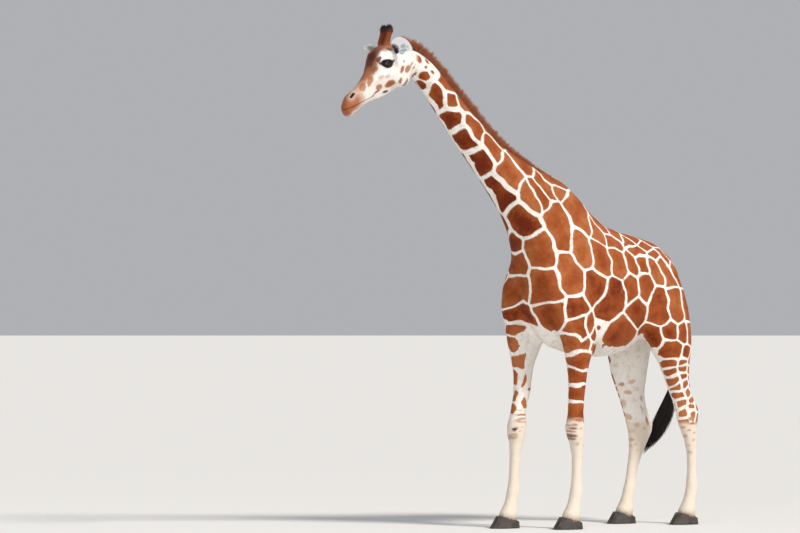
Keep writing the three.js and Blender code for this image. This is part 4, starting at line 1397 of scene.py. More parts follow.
def markings(places, normals):
    """Net, tone and paint at each body place."""
    net, tone = net_of(places)
    inner = inner_share(places, normals)
    x, _, z = places.T
    wider_by = np.where(x < -0.1, np.where(z < 1.42, 0.012, 0.09), np.where(z > 1.4, 0.09, 0.25))
    front = ramp(0.25, 0.7, -normals[:, 0]) * (x < -0.55) * (z > 1.3)
    net = net - inner * (1 - front) * wider_by
    tone = tone + 0.35 * inner - 0.12 * (1 - ramp(-1.2, -0.9, x))
    return {"net": net, "tone": tone, "paint": paint_of(places, normals)}


def set_values(mesh, **values):
    """Keeps numbers, or colours with alpha, on the points of a mesh, where a material reads them by name."""
    for name, numbers in values.items():
        numbers = np.ascontiguousarray(numbers, np.float32)
        kind, channel = ("FLOAT_COLOR", "color") if numbers.ndim == 2 else ("FLOAT", "value")
        mesh.attributes.new(name, kind, "POINT").data.foreach_set(channel, numbers.ravel())


for piece in (skin, lid_piece):
    set_values(piece.data, **markings(in_body(piece.data), normals_of(piece.data)))
print("marked points:", len(skin.data.vertices) + len(lid_piece.data.vertices))

# %% [markdown]
# Shader nodes read more easily when each kind is one call. Each helper adds a node to a material or a group,
# fills its inputs, and returns the output that matters.

# %% Shader nodes as calls
def group_with(name, inputs, outputs):
    group = bpy.data.node_groups.new(name, "ShaderNodeTree")
    for socket, kind in inputs:
        group.interface.new_socket(socket, in_out="INPUT", socket_type=kind)
    for socket, kind in outputs:
        group.interface.new_socket(socket, in_out="OUTPUT", socket_type=kind)
    return group, group.nodes.new("NodeGroupInput"), group.nodes.new("NodeGroupOutput")


def new_node(tree, kind, inputs):
    return fill(tree, tree.nodes.new(kind), inputs)


def noise(tree, vector, scale, detail):
    inputs = {"Vector": vector, "Scale": scale, "Detail": detail}
    return new_node(tree, "ShaderNodeTexNoise", inputs).outputs["Fac"]


def math_node(tree, operation, *values):
    node = tree.nodes.new("ShaderNodeMath")
    node.operation = operation
    return fill(tree, node, dict(enumerate(values))).outputs[0]


def ramped(tree, value, low, high, to_low=0.0, to_high=1.0):
    """The value carried from low..high to to_low..to_high, softly at both ends."""
    limits = {"From Min": low, "From Max": high, "To Min": to_low, "To Max": to_high}
    node = new_node(tree, "ShaderNodeMapRange", {"Value": value, **limits})
    node.interpolation_type = "SMOOTHSTEP"
    return node.outputs["Result"]


def mixed(tree, factor, first, second, blend="MIX"):
    node = tree.nodes.new("ShaderNodeMix")
    node.data_type = "RGBA"
    node.blend_type = blend
    return fill(tree, node, {"Factor": factor, "A": first, "B": second}).outputs["Result"]


def stirred(tree, value, by, share):
    """The value, moved up and down by a share of a noise."""
    return math_node(tree, "MULTIPLY_ADD", math_node(tree, "SUBTRACT", by, 0.5), share, value)


def read_attribute(tree, name, output="Fac"):
    node = tree.nodes.new("ShaderNodeAttribute")
    node.attribute_name = name
    return node.outputs[output]


def object_place(tree):
    return tree.nodes.new("ShaderNodeTexCoord").outputs["Object"]


def bumped(tree, height, distance):
    bump = {"Height": height, "Strength": 0.6, "Distance": distance}
    return new_node(tree, "ShaderNodeBump", bump).outputs["Normal"]


print("kinds of node:", [helper.__name__ for helper in (noise, math_node, ramped, mixed, bumped)])

# %% [markdown]
# One node group turns the stored values into a coat. It roughens the edge of each patch by a hair's length of
# noise, mottles the chestnut, and gives the fine grain of short hair as a height for the bump. The same group
# serves the skin and every tuft, so that the two never disagree.

# %% Coat colours
PATCH_DARK = (0.15, 0.02, 0.003)
PATCH_MID = (0.3, 0.066, 0.013)
PATCH_LIGHT = (0.43, 0.14, 0.048)
LINE_WHITE = (0.86, 0.81, 0.75)
LINE_BEIGE = (0.74, 0.65, 0.54)
EDGE_FRAY = 0.007  # metres by which noise moves a patch's edge
EDGE_BLUR = 0.0016

coat, coat_in, coat_out = group_with(
    "coat_colour",
    [("Place", "NodeSocketVector"), ("Net", "NodeSocketFloat"), ("Tone", "NodeSocketFloat"),
     ("Paint", "NodeSocketColor"), ("Cover", "NodeSocketFloat")],
    [("Colour", "NodeSocketColor"), ("Grain", "NodeSocketFloat")],
)
given = coat_in.outputs
fuzz = noise(coat, given["Place"], 110, 3)
mottle = noise(coat, given["Place"], 9, 4)
cloud = noise(coat, given["Place"], 30, 3)
grain = noise(coat, given["Place"], 420, 2)
in_patch = ramped(coat, stirred(coat, given["Net"], fuzz, EDGE_FRAY), -EDGE_BLUR, EDGE_BLUR)
mottled_tone = stirred(coat, stirred(coat, given["Tone"], mottle, 1.1), cloud, 0.45)
darker_middle = ramped(coat, given["Net"], 0.008, 0.075, 0.06, -0.14)
tone_value = math_node(coat, "ADD", mottled_tone, darker_middle)
lower_tones = mixed(coat, ramped(coat, tone_value, -0.05, 0.5), PATCH_DARK, PATCH_MID)
patch_colour = mixed(coat, ramped(coat, tone_value, 0.35, 1.05), lower_tones, PATCH_LIGHT)
line_colour = mixed(coat, ramped(coat, cloud, 0.45, 0.75), LINE_WHITE, LINE_BEIGE)
netted = mixed(coat, in_patch, line_colour, patch_colour)
cover = ramped(coat, stirred(coat, given["Cover"], fuzz, 0.35), 0.15, 0.85)
painted = mixed(coat, cover, netted, given["Paint"])
hair_shade = ramped(coat, grain, 0.3, 0.7, 0.9, 1.06)
colour = mixed(coat, 1.0, painted, hair_shade, "MULTIPLY")
fill(coat, coat_out, {"Colour": colour, "Grain": math_node(coat, "MULTIPLY_ADD", cloud, 0.5, grain)})
print("nodes in the coat group:", len(coat.nodes))

# %% [markdown]
# Skin and tufts wear one material: the group's colours, a bump from its grain, and a little sheen, because
# short hair catches the light that grazes it.

# %% Short hair
COAT_BUMP = 0.0012
short_coat = plain_material("short_coat", PATCH_MID, 0.75)
tree = short_coat.node_tree
colours = tree.nodes.new("ShaderNodeGroup")
colours.node_tree = coat
fill(tree, colours, {
    "Place": object_place(tree), "Net": read_attribute(tree, "net"), "Tone": read_attribute(tree, "tone"),
    "Paint": read_attribute(tree, "paint", "Color"), "Cover": read_attribute(tree, "paint", "Alpha"),
})
on_shader(short_coat, {
    "Base Color": colours.outputs["Colour"], "Normal": bumped(tree, colours.outputs["Grain"], COAT_BUMP),
    "Sheen Weight": 0.04, "Sheen Roughness": 0.5, "Specular IOR Level": 0.12,
})
for piece in (skin, lid_piece):
    dressed(piece, short_coat)
print("coat on:", skin.name, lid_piece.name)

# %% [markdown]
# The eye is dark brown with a wide level pupil under a wet clear layer, so its material has a coat over a
# smooth ball. Two values on the ball's points say how far out each lies, 1 being the edge of the pupil and of
# the iris, and ramps turn them into colours.

# %% Eye
PUPIL_WIDTH = 0.42  # half the pupil and the iris, as shares of the ball's radius
PUPIL_HEIGHT = 0.2
IRIS_RADIUS = 0.66

ball_places = in_body(eye_pieces.data)
pupil = np.empty(len(ball_places))
iris = np.empty(len(ball_places))
for side in BOTH:
    own = ball_places[:, 1] * side > 0
    direction = ball_places[own] - mirrored(EYE_CENTRE, side)
    direction /= norm(direction, axis=1)[:, None]
    outward, aft, up = eye_axes(side)
    behind = (direction @ outward < 0) * 3
    pupil[own] = np.hypot((direction @ aft) / PUPIL_WIDTH, (direction @ up) / PUPIL_HEIGHT) + behind
    iris[own] = np.hypot(direction @ aft, direction @ up) / IRIS_RADIUS + behind
set_values(eye_pieces.data, pupil=pupil, iris=iris)
eye_material = plain_material("wet_eye", (0.02, 0.012, 0.01), 0.08)
tree = eye_material.node_tree
fibres = noise(tree, object_place(tree), 260, 3)
iris_brown = mixed(tree, fibres, (0.012, 0.006, 0.004), (0.048, 0.019, 0.008))
inside = mixed(tree, ramped(tree, read_attribute(tree, "iris"), 0.88, 1.04), iris_brown, (0.012, 0.009, 0.008))
eye_colour = mixed(tree, ramped(tree, read_attribute(tree, "pupil"), 0.92, 1.06), (0.003, 0.003, 0.004), inside)
WET = {"Specular IOR Level": 0.1, "Coat Weight": 1.0, "Coat Roughness": 0.03}
dressed(eye_pieces, on_shader(eye_material, {"Base Color": eye_colour, **WET}))
print("darkest value of the pupil:", round(float(pupil.min()), 3))

# %% [markdown]
# Lid rims are black skin with fine creases. Horn is dull, and grows down from the skin in faint rings, for
# which a wave in height is bent by a little noise. A second noise stains it lighter and smoother in places.

# %% Lid rim and horn
rim_material = plain_material("black_skin", (0.02, 0.014, 0.012), 0.38)
tree = rim_material.node_tree
creases = noise(tree, object_place(tree), 900, 3)
rim_colour = mixed(tree, creases, (0.01, 0.008, 0.007), (0.038, 0.026, 0.022))
on_shader(rim_material, {"Base Color": rim_colour, "Normal": bumped(tree, creases, 0.0004)})
dressed(margin_piece, rim_material)

horn = plain_material("dull_horn", (0.09, 0.065, 0.05), 0.6)
tree = horn.node_tree
bands = {"Vector": object_place(tree), "Scale": 30, "Distortion": 5.0, "Detail": 3.0, "Detail Scale": 0.5}
wave = new_node(tree, "ShaderNodeTexWave", bands)
wave.bands_direction = "Z"
rings = wave.outputs["Fac"]
stains = noise(tree, object_place(tree), 26, 4)
ring_shade = math_node(tree, "MULTIPLY_ADD", rings, 0.07, math_node(tree, "MULTIPLY", stains, 0.95))
horn_colour = mixed(tree, ramped(tree, ring_shade, 0.34, 0.8), (0.026, 0.02, 0.016), (0.08, 0.061, 0.047))
horn_gloss = ramped(tree, stains, 0.3, 0.7, 0.48, 0.72)
on_shader(horn, {"Base Color": horn_colour, "Roughness": horn_gloss, "Normal": bumped(tree, rings, 0.00022)})
dressed(hooves, horn)
print("bare materials:", eye_material.name, rim_material.name, horn.name)

# %% [markdown]
# Hair is planted from number arrays. One thin three-sided cone is the shape of every hair or tuft, cut into
# rings where it has to bend. Roots are scattered over a mesh by area. Each copy is laid along its own path, and
# all the copies of a region make one mesh. Each tuft also gets a small patch on a map named OFBake, at its
# root's place on an unwrap of the skin, so that colours baked to a picture stay with their own tuft.

# %% Tools for planting hair
TUFT_PATCH = 0.003


def cut_level(bm, height):
    """Cuts a bmesh all round at a height, and returns the points of the cut."""
    everything = bm.verts[:] + bm.edges[:] + bm.faces[:]
    cut = bmesh.ops.bisect_plane(bm, geom=everything, plane_co=(0, 0, height), plane_no=(0, 0, 1))
    return [item for item in cut["geom_cut"] if isinstance(item, bmesh.types.BMVert)]


def strand_shape(rings):
    """Points and triangles of a cone one unit long and wide that stands on the origin, cut into rings."""
    bm = bmesh.new()
    bmesh.ops.create_cone(bm, cap_ends=False, segments=3, radius1=0.5, radius2=0, depth=1)
    bmesh.ops.translate(bm, verts=bm.verts, vec=(0, 0, 0.5))
    for ring in range(1, rings):
        cut_level(bm, ring / rings)
    bmesh.ops.triangulate(bm, faces=bm.faces)
    bm.verts.index_update()
    points = np.array([vertex.co for vertex in bm.verts])
    faces = np.array([[vertex.index for vertex in face.verts] for face in bm.faces])
    bm.free()
    return points, faces


def roots_on(mesh, weight, count):
    """Body places and normals scattered over a mesh, thicker where its points weigh more."""
    mesh.calc_loop_triangles()
    corners = np.empty(len(mesh.loop_triangles) * 3, np.int32)
    mesh.loop_triangles.foreach_get("vertices", corners)
    corners = corners.reshape(-1, 3)
    places, normals = in_body(mesh), normals_of(mesh)
    sides = places[corners[:, 1:]] - places[corners[:, :1]]
    area = norm(np.cross(sides[:, 0], sides[:, 1]), axis=1) / 2
    chance = area * weight[corners].min(axis=1)
    picked = corners[rng.choice(len(corners), count, p=chance / chance.sum())]
    share = rng.dirichlet((1, 1, 1), count)[:, :, None]
    return (places[picked] * share).sum(axis=1), unit((normals[picked] * share).sum(axis=1))


def planted(name, shape, path, across, width, thickness, unwrap, fullness=1.0):
    """One mesh of many strands. path(t) is the body place of each at the share t of its length."""
    points, faces = shape
    count, corners = len(across), len(points)
    width, thickness = np.broadcast_to(width, count), np.broadcast_to(thickness, count)
    t = points[:, 2]
    swell = np.where(t < 1, (1 - t**fullness) / np.maximum(1 - t, 1e-6), 1)
    middle = np.stack([path(share) for share in t], axis=1)
    rise = unit(np.cross(path(1.0) - path(0.0), across))
    places = middle + across[:, None] * (width[:, None] * points[:, 0] * swell)[:, :, None]
    places += rise[:, None] * (thickness[:, None] * points[:, 1] * swell)[:, :, None]
    places += ORIGIN
    triangles = (faces[None] + (np.arange(count) * corners)[:, None, None]).reshape(-1, 3).astype(np.int32)
    mesh = bpy.data.meshes.new(name)
    mesh.vertices.add(count * corners)
    mesh.loops.add(triangles.size)
    mesh.polygons.add(len(triangles))
    mesh.vertices.foreach_set("co", places.astype(np.float32).ravel())
    mesh.loops.foreach_set("vertex_index", triangles.ravel())
    mesh.polygons.foreach_set("loop_start", np.arange(0, triangles.size, 3, dtype=np.int32))
    mesh.update(calc_edges=True)
    patch = (points[:, [0, 2]] - (0, 0.5)) * TUFT_PATCH
    at_corners = (unwrap[:, None] + patch).reshape(-1, 2)[triangles.ravel()]
    mesh.uv_layers.new(name="OFBake").data.foreach_set("uv", at_corners.astype(np.float32).ravel())
    return smooth_shaded(new_piece(name, mesh))


def round_the_line(places, middle, direction, zero):
    """Where places lie round an axis: the turn from 0 to 1, and the metres along it."""
    away = places - middle
    direction, zero = unit(np.array(direction, float)), np.array(zero, float)
    turn = np.arctan2(away @ np.cross(direction, zero), away @ zero) / (2 * math.pi) + 0.5
    return np.stack([turn, away @ direction], axis=1)


def in_tile(coordinates, low, high, left=0.01, bottom=0.01, right=0.99, top=0.99):
    """Turn and metres from low to high, carried into one tile of the unit square."""
    share = np.clip((coordinates[:, 1] - low) / (high - low), 0, 1)
    return np.stack([left + (right - left) * coordinates[:, 0], bottom + (top - bottom) * share], axis=1)


TUFT = strand_shape(1)
print("triangles in a tuft:", len(TUFT[1]))

# %% [markdown]
# A giraffe's hair is short and lies flat: backwards along the trunk, down the neck and legs, and from the
# muzzle up over the face. The direction at each root is one of these, turned into the skin's own plane and
# blended where two regions meet. The body is split into five regions, and each becomes a piece of coat.

# %% How the hair lies
NECK_BASE = np.array([-0.75, 0, 2.2])
NECK_LINE = unit(np.array([0.72, 0, -0.69]))
DOWN_THE_TRUNK = (1, 0, -0.35)
DOWN_THE_LEG = (0.06, 0, -1)
TAIL_SIDE = 0.14


def by_tail(places):
    x, y, z = places.T
    return (x > 0.6) & (abs(y) < TAIL_SIDE) & (z > 1.19)


def by_ear(places, outward):
    x, y, z = places.T
    return (abs(y) > outward) & (z > 3.56) & (x > -2.09)


def by_horn(places, outward, above):
    x, y, z = places.T
    return (abs(y) < outward) & (z > above) & (x < -1.98)


def region_of(places):
    """0 trunk, 1 neck, 2 head, 3 forelegs, 4 hind legs and tail."""
    x, y, z = places.T
    region = np.zeros(len(places), int)
    region[((places - NECK_BASE) @ NECK_LINE < 0) & (x < -0.4) & (z > 1.9)] = 1
    region[(head_share(places) > 0.5) | ((x < -1.9) & (z > 3.52))] = 2
    for pair, side in LEGS:
        region[leg_points(places, pair, side)] = 3 if pair == "fore" else 4
    region[(x > 0.66) & (abs(y) < TAIL_SIDE) & (z < 1.97)] = 4
    return region


def lie_of_hair(places, normals, region):
    """The direction of the hair at each place, in the plane of the skin."""
    _, y, z = places.T
    flow = np.zeros_like(places) + DOWN_THE_TRUNK
    to_neck = ramp(-0.35, 0.25, -(places - NECK_BASE) @ NECK_LINE) * (z > 1.9)
    flow += to_neck[:, None] * (NECK_LINE - DOWN_THE_TRUNK)
    to_leg = (1 - ramp(1.2, 1.62, z))[:, None]
    flow += to_leg * (DOWN_THE_LEG - flow)
    head = region == 2
    flow[head] = (0.62, 0, 0.78)
    ear = head & by_ear(places, 0.085)
    flow[ear] = np.array([0.25, 0, 0.55]) + np.sign(y[ear])[:, None] * (0, 1, 0)
    flow[head & by_horn(places, 0.08, 3.66)] = (0.12, 0, 1)
    flow[(region == 4) & by_tail(places)] = (0.05, 0.1, -1)
    flow -= normals * (flow * normals).sum(axis=1)[:, None]
    return unit(flow)


skin_region = region_of(in_body(skin.data))
print("points of skin in each region:", np.bincount(skin_region))

# %% [markdown]
# Each region's roots need places on a map. Trunk, neck, legs and tail are unrolled round their axes, as a
# sleeve is, and the head is too, with small tiles of their own for the horns and the ears, so that no two
# roots that are far apart on the animal share a place on the map.

# %% Unwraps of the skin
def unwrap_head(places, normals):
    turn = round_the_line(places, (-1.85, 0, 3.52), (-0.8, 0, -0.6), (0.6, 0, -0.8))
    unwrap = in_tile(turn, -0.1, 0.75, top=0.62)
    horns = np.flatnonzero(by_horn(places, 0.075, 3.665))
    for side in BOTH:
        own = horns[places[horns, 1] * side > 0]
        turn = round_the_line(places[own], (-2.04, 0.037 * side, 3.66), (0, 0, 1), (1, 0, 0))
        unwrap[own] = in_tile(turn, 0, 0.16, 0.26 + 0.24 * side, 0.64, 0.48 + 0.24 * side, 0.76)
    ears = np.flatnonzero(by_ear(places, 0.09))
    _, y, z = places[ears].T
    column = (y > 0) + 2.0 * (normals[ears, 0] > 0)
    unwrap[ears, 0] = 0.02 + 0.24 * column + np.clip((abs(y) - 0.09) / 0.18, 0, 1) * 0.21
    unwrap[ears, 1] = 0.79 + np.clip((z - 3.56) / 0.17, 0, 1) * 0.19
    return unwrap


def unwrap_legs(places, pair):
    unwrap = np.zeros((len(places), 2))
    for side in BOTH:
        own = np.flatnonzero(places[:, 1] * side > 0)
        z = places[own, 2]
        heights, middle_x, middle_y = leg_axes[pair, side][:3]
        axis = np.stack([np.interp(z, heights, middle_x), np.interp(z, heights, middle_y), 0 * z], axis=1)
        turn = round_the_line(places[own], axis, (0, 0, 1), (0, -side, 0))
        unwrap[own] = in_tile(turn, 0, 1.4, 0.24 + 0.22 * side, 0.01, 0.68 + 0.22 * side, 0.99)
    tail = np.flatnonzero(by_tail(places))
    turn = round_the_line(places[tail], (0.84, 0.05, 1.1), (0, 0, 1), (0, -1, 0))
    unwrap[tail] = in_tile(turn, 0, 1.0, left=0.93)
    return unwrap


def unwrap_of(places, normals, number):
    """Each root's place on the unwrap of its region."""
    if number == 0:
        return in_tile(round_the_line(places, (-0.95, 0, 1.75), (1, 0, 0), (0, 0, -1)), 0, 1.95)
    if number == 1:
        return in_tile(round_the_line(places, NECK_BASE, -NECK_LINE, (-0.69, 0, -0.72)), -0.05, 2.0)
    if number == 2:
        return unwrap_head(places, normals)
    return unwrap_legs(places, "fore" if number == 3 else "hind")


print("one corner of the unit square:", in_tile(np.zeros((1, 2)), 0, 1)[0])

# %% [markdown]
# The coat itself: flat tufts from 3 to 17 millimetres long, smallest on the muzzle, each raised a few degrees
# from the skin and turned a little at random so that neighbours overlap. A fringe of longer ones hides where
# the hooves begin. Each tuft takes its colour from the same net and paint as the skin under its root, and
# most of its shading normal too, so that it doesn't show as a dark fleck on a pale line.

# %% Short coat
COAT = {  # region: name, tufts, length
    0: ("coat_trunk", 64000, 0.0125),
    1: ("coat_neck", 50000, 0.0125),
    2: ("coat_head", 44000, 0.0062),
    3: ("coat_forelegs", 36000, 0.009),
    4: ("coat_hindlegs", 44000, 0.0095),
}
ROOT_DEPTH = 0.0006
TUFT_WIDTH = 0.26  # as shares of its length
TUFT_THICKNESS = 0.1
TURNED = 0.24  # how far a tuft strays from the lie of the hair
FRINGE = (0.014, 0.026)
HORN_COAT = (0.01, 0.017)
EAR_RIM_REACH = 0.0026  # a tuft on an ear that would stand further off the skin is shortened
by_hoof = near_hoof(in_body(skin.data), 0.022, 0.028)
coat_tree = tree_of(skin.data)
coat_pieces = []


def bare(places):
    """Places without coat: the eye openings and what the lids cover, the lips and the nostrils."""
    result = near_lips(places, 0.004) > 0.5
    for side in BOTH:
        result |= norm(places - mirrored(EYE_CENTRE, side), axis=1) < EYE_RADIUS * 1.28
        result |= near_line(places, nostril_line(side), 0.008) > 0.4
    return result


def tuft_lengths(number, length, roots, over_hoof, on_horn):
    """A length for each tuft of a region, as it changes along a leg or the face."""
    lengths = length * rng.uniform(0.75, 1.25, len(roots))
    if number >= 3:
        lengths *= np.interp(roots[:, 2], (0.05, 0.25, 0.7, 1.2), (0.7, 0.6, 0.75, 1.1))
        lengths[over_hoof] = rng.uniform(*FRINGE, over_hoof.sum())
    if number == 2:
        lengths *= np.interp((roots - NOSTRIL) @ np.array([0.8, 0, 0.6]), (0, 0.12, 0.4), (0.55, 0.8, 1.25))
        lengths[on_horn] = rng.uniform(*HORN_COAT, on_horn.sum())
    return lengths


for number, (name, count, length) in COAT.items():
    count = count
    roots, normals = roots_on(skin.data, (skin_region == number) * (1 + 7 * by_hoof), count)
    kept = ~bare(roots)
    roots, normals = roots[kept], normals[kept]
    over_hoof = near_hoof(roots, 0.016, 0.022) > 0.5 if number >= 3 else np.zeros(len(roots), bool)
    on_horn = by_horn(roots, 0.08, 3.665) if number == 2 else np.zeros(len(roots), bool)
    lengths = tuft_lengths(number, length, roots, over_hoof, on_horn)
    flow = lie_of_hair(roots, normals, np.full(len(roots), number))
    flow = unit(flow + TURNED * rng.normal(0, 1, flow.shape))
    lift = np.radians(rng.uniform(5, 16, len(roots)))[:, None]
    lift[on_horn] += 0.22
    across = unit(np.cross(normals, flow))
    direction = unit(np.cross(across, normals)) * np.cos(lift) + normals * np.sin(lift)
    if number >= 3:
        falling = unit(normals * (0.42, 0.42, 0) + (0, 0, -1))
        direction[over_hoof] = unit(falling + 0.12 * rng.normal(0, 1, falling.shape))[over_hoof]
    tips = roots + direction * lengths[:, None] + ORIGIN
    off_rim = (share_of_ear(roots) > 0) & (distances(coat_tree, tips) > EAR_RIM_REACH)
    lengths[off_rim] *= 0.35
    start = roots - normals * ROOT_DEPTH
    piece = planted(
        name, TUFT, lambda t: start + direction * (lengths * t)[:, None], across,
        lengths * TUFT_WIDTH, lengths * TUFT_THICKNESS, unwrap_of(roots, normals, number),
    )
    shaded = np.repeat(normals, len(TUFT[0]), axis=0) * 0.75 + normals_of(piece.data) * 0.25
    piece.data.normals_split_custom_set_from_vertices(unit(shaded).astype(np.float32))
    marks = markings(roots, normals)
    marks["tone"] = marks["tone"] + rng.normal(0, 0.1, len(roots))
    set_values(piece.data, **{name: np.repeat(values, len(TUFT[0]), axis=0) for name, values in marks.items()})
    coat_pieces.append(dressed(piece, short_coat))
    print(name, len(roots), "tufts", len(piece.data.polygons), "triangles")

# %% [markdown]
# Long hair takes its shade from a value on each strand, dark at the root and lighter at the tip. One material
# recipe with three colours serves the red-brown mane and the black hair of the tail, the horns and the lashes.

# %% Long hair
def long_hair(name, dark, middle, light, roughness):
    material = plain_material(name, middle, roughness)
    tree = material.node_tree
    fine = noise(tree, object_place(tree), 160, 3)
    shade = stirred(tree, read_attribute(tree, "shade"), fine, 0.5)
    darker = mixed(tree, ramped(tree, shade, 0.0, 0.5), dark, middle)
    colour = mixed(tree, ramped(tree, shade, 0.5, 1.0), darker, light)
    fibres = bumped(tree, noise(tree, object_place(tree), 700, 2), 0.0006)
    return on_shader(material, {"Base Color": colour, "Normal": fibres, "Specular IOR Level": 0.4})


mane_material = long_hair("mane_bristle", (0.11, 0.026, 0.009), (0.3, 0.078, 0.022), (0.52, 0.19, 0.07), 0.6)
dark_hair = long_hair("dark_hair", (0.006, 0.005, 0.005), (0.02, 0.013, 0.011), (0.17, 0.04, 0.014), 0.5)


def finished(strands, shape, of_strand, to_tip, material):
    """The strands with their material and shade: each one's own, plus a share that grows to its tip."""
    set_values(strands.data, shade=(of_strand[:, None] + to_tip * shape[0][:, 2]).ravel())
    return dressed(strands, material)


def core_of(name, nodes, move, material, shade):
    """A smooth dark body under long hair: the solid's own shape, drawn in."""
    piece = new_piece(name, mesh_from_bmesh(name, merged_copy(nodes)))
    set_places(piece.data, move(in_body(piece.data)) + ORIGIN)
    set_values(piece.data, shade=np.full(len(piece.data.vertices), shade))
    return dressed(smooth_shaded(piece), material)


print("long hair materials:", mane_material.name, dark_hair.name)

# %% [markdown]
# The mane is a stiff brush along the crest, from the poll to the withers. We find its outline by casting rays
# at the mane's solid and at the skin below it, from stations along a line above the crest.

# %% Outline of the mane
RAYS_FROM = 0.4  # metres above the crest
STATION_STEP = 0.012
crest_line = unit(np.array([0.82, 0, -0.57]))
crest_out = np.array([0.57, 0, 0.82]) / math.hypot(0.57, 0.82)
mane_mesh = mesh_from_bmesh("mane_solid", merged_copy(["mane"]))
mane_tree, skin_tree_now = tree_of(mane_mesh), tree_of(skin.data)
mane_places = in_body(mane_mesh)
bpy.data.meshes.remove(mane_mesh)
first = mane_places[mane_places[:, 0].argmin()]
stations, tops, bases = [], [], []
for station in np.arange(-0.05, 1.95, STATION_STEP):
    above = first * (1, 0, 1) + crest_line * station + crest_out * RAYS_FROM
    ray = (BODY_ORIGIN + Vector(above), -Vector(crest_out))
    to_top, to_skin = mane_tree.ray_cast(*ray)[3], skin_tree_now.ray_cast(*ray)[3]
    if to_top is not None and to_skin is not None:
        stations.append(station)
        tops.append(-to_top)
        bases.append(-to_skin)
stations, tops, bases = np.array(stations), np.array(tops), np.array(bases)
slope = np.gradient(np.convolve(np.pad(tops, 4, "edge"), np.ones(9) / 9, "valid"), stations)
print("stations of the mane:", len(stations), "greatest height:", round((tops - bases).max(), 3))

# %% [markdown]
# Then strands stand on the crest and reach that outline. They are gathered in clumps that differ a little in
# height and lean, which gives the uneven edge. A narrower core below them closes the gaps.

# %% Mane
CLUMP = 0.022
MANE_ROOT = 0.01  # metres below the skin
MANE_HALF = 0.0135
count = 8000
at = rng.uniform(stations[0] + 0.004, stations[-1] - 0.004, count)
clump = np.floor(at / CLUMP + rng.uniform(-0.3, 0.3, count)).astype(int)
clump_height = rng.uniform(0.89, 1.03, clump.max() + 2)
clump_side = rng.normal(0, 0.004, clump.max() + 2)
top, base = np.interp(at, stations, tops), np.interp(at, stations, bases)
lean = np.interp(at, stations, slope)
start = first * (1, 0, 1) + crest_line * at[:, None] + crest_out * (RAYS_FROM + base - MANE_ROOT)[:, None]
start[:, 1] = rng.uniform(-MANE_HALF, MANE_HALF, count)
length = (top - base + MANE_ROOT) * clump_height[clump] * rng.uniform(0.82, 1.06, count)
length = np.maximum(length, 0.02)
reach = unit(crest_out - crest_line * lean[:, None] + crest_line * 0.1) * length[:, None]
pull = ((clump + 0.5) * CLUMP - at) * 0.3
sideways = clump_side[clump] + start[:, 1] * 0.25 + rng.normal(0, 0.003, count)
SHORT_HAIR = strand_shape(2)


def mane_path(t):
    place = start + reach * t + crest_line * (pull * t * t)[:, None]
    place[:, 1] += sideways * t * t
    return place


turn = rng.uniform(0, math.pi, count)[:, None]
across = unit(np.cos(turn) * crest_line + np.sin(turn) * np.array([0, 1.0, 0]))
share = (at - stations[0]) / (stations[-1] - stations[0])
unwrap = np.stack([0.5 + start[:, 1] * 12, 0.02 + 0.96 * share], axis=1)
width = rng.uniform(0.0026, 0.0042, count)
mane = planted("mane_strands", SHORT_HAIR, mane_path, across, width, 0.0018, unwrap, 2.2)
finished(mane, SHORT_HAIR, rng.normal(0.22, 0.13, count), 0.42, mane_material)


def narrowed(places):
    return places * (1, 0.55, 1) - crest_out * 0.03


mane_core = core_of("mane_core", ["mane"], narrowed, mane_material, 0.1)
print("mane strands:", count)

# %% [markdown]
# The tail ends in a tassel of coarse black hair, half a metre and more long. Level cuts through its solid give
# the bundle's middle and radius at each height.

# %% Bundle of the tassel
DOCK_RADIUS = 0.0165
DOCK = (1.45, (0.862, 0.068, DOCK_RADIUS))  # a place higher up the tail, as height, x, y and radius
tassel_form = merged_copy(["tail_tuft"])
heights = [vertex.co.z for vertex in tassel_form.verts]
levels = np.linspace(min(heights) + 0.02, max(heights) - 0.003, 24)
bundle = []
for level in levels:
    ring = [vertex.co - BODY_ORIGIN for vertex in cut_level(tassel_form, level)]
    low, high = np.min(ring, axis=0), np.max(ring, axis=0)
    bundle.append([*((low + high) / 2)[:2], (high - low)[:2].mean() / 2])
tassel_form.free()
TASSEL_TOP = levels[-1]
levels = np.append(levels, DOCK[0])
bundle = np.array([*bundle, DOCK[1]])


def bundle_at(height):
    return [np.interp(height, levels, column) for column in bundle.T]


print("tassel's top:", round(TASSEL_TOP, 3), "widest radius:", round(bundle[:, 2].max(), 3))

# %% [markdown]
# Each hair keeps its place in the bundle all the way down, so that the tassel swells and narrows as its solid
# does, and the tips come to different lengths. The highest hairs leave the dock above the tassel's top.

# %% Tail tassel
count = 1600
spin = rng.uniform(0, 2 * math.pi, count)
spread = np.sqrt(rng.uniform(0.05, 1, count))
from_height = rng.triangular(0.95, TASSEL_TOP - 0.02, TASSEL_TOP + 0.06, count)
to_height = np.interp(spread, (0.2, 1), (0.51, 0.6)) + rng.exponential(0.06, count)
sway = rng.normal(0, 0.12, (count, 2))
TASSEL_HAIR = strand_shape(9)


def tassel_path(t):
    height = from_height + (to_height - from_height) * t
    x, y, radius = bundle_at(height)
    fallen = ramp(-0.01, 0.15, TASSEL_TOP - height)
    own = DOCK_RADIUS * (0.74 + 0.2 * spread) * (1 - fallen) + spread * radius * (0.72 + 0.26 * t) * fallen
    curl = 0.005 * t * np.sin(7 * t + 9 * spread)
    x = x + own * (np.cos(spin) + sway[:, 0] * t) + curl
    y = y + own * (np.sin(spin) + sway[:, 1] * t) - curl * np.cos(spin)
    return np.stack([x, y, height], axis=1)


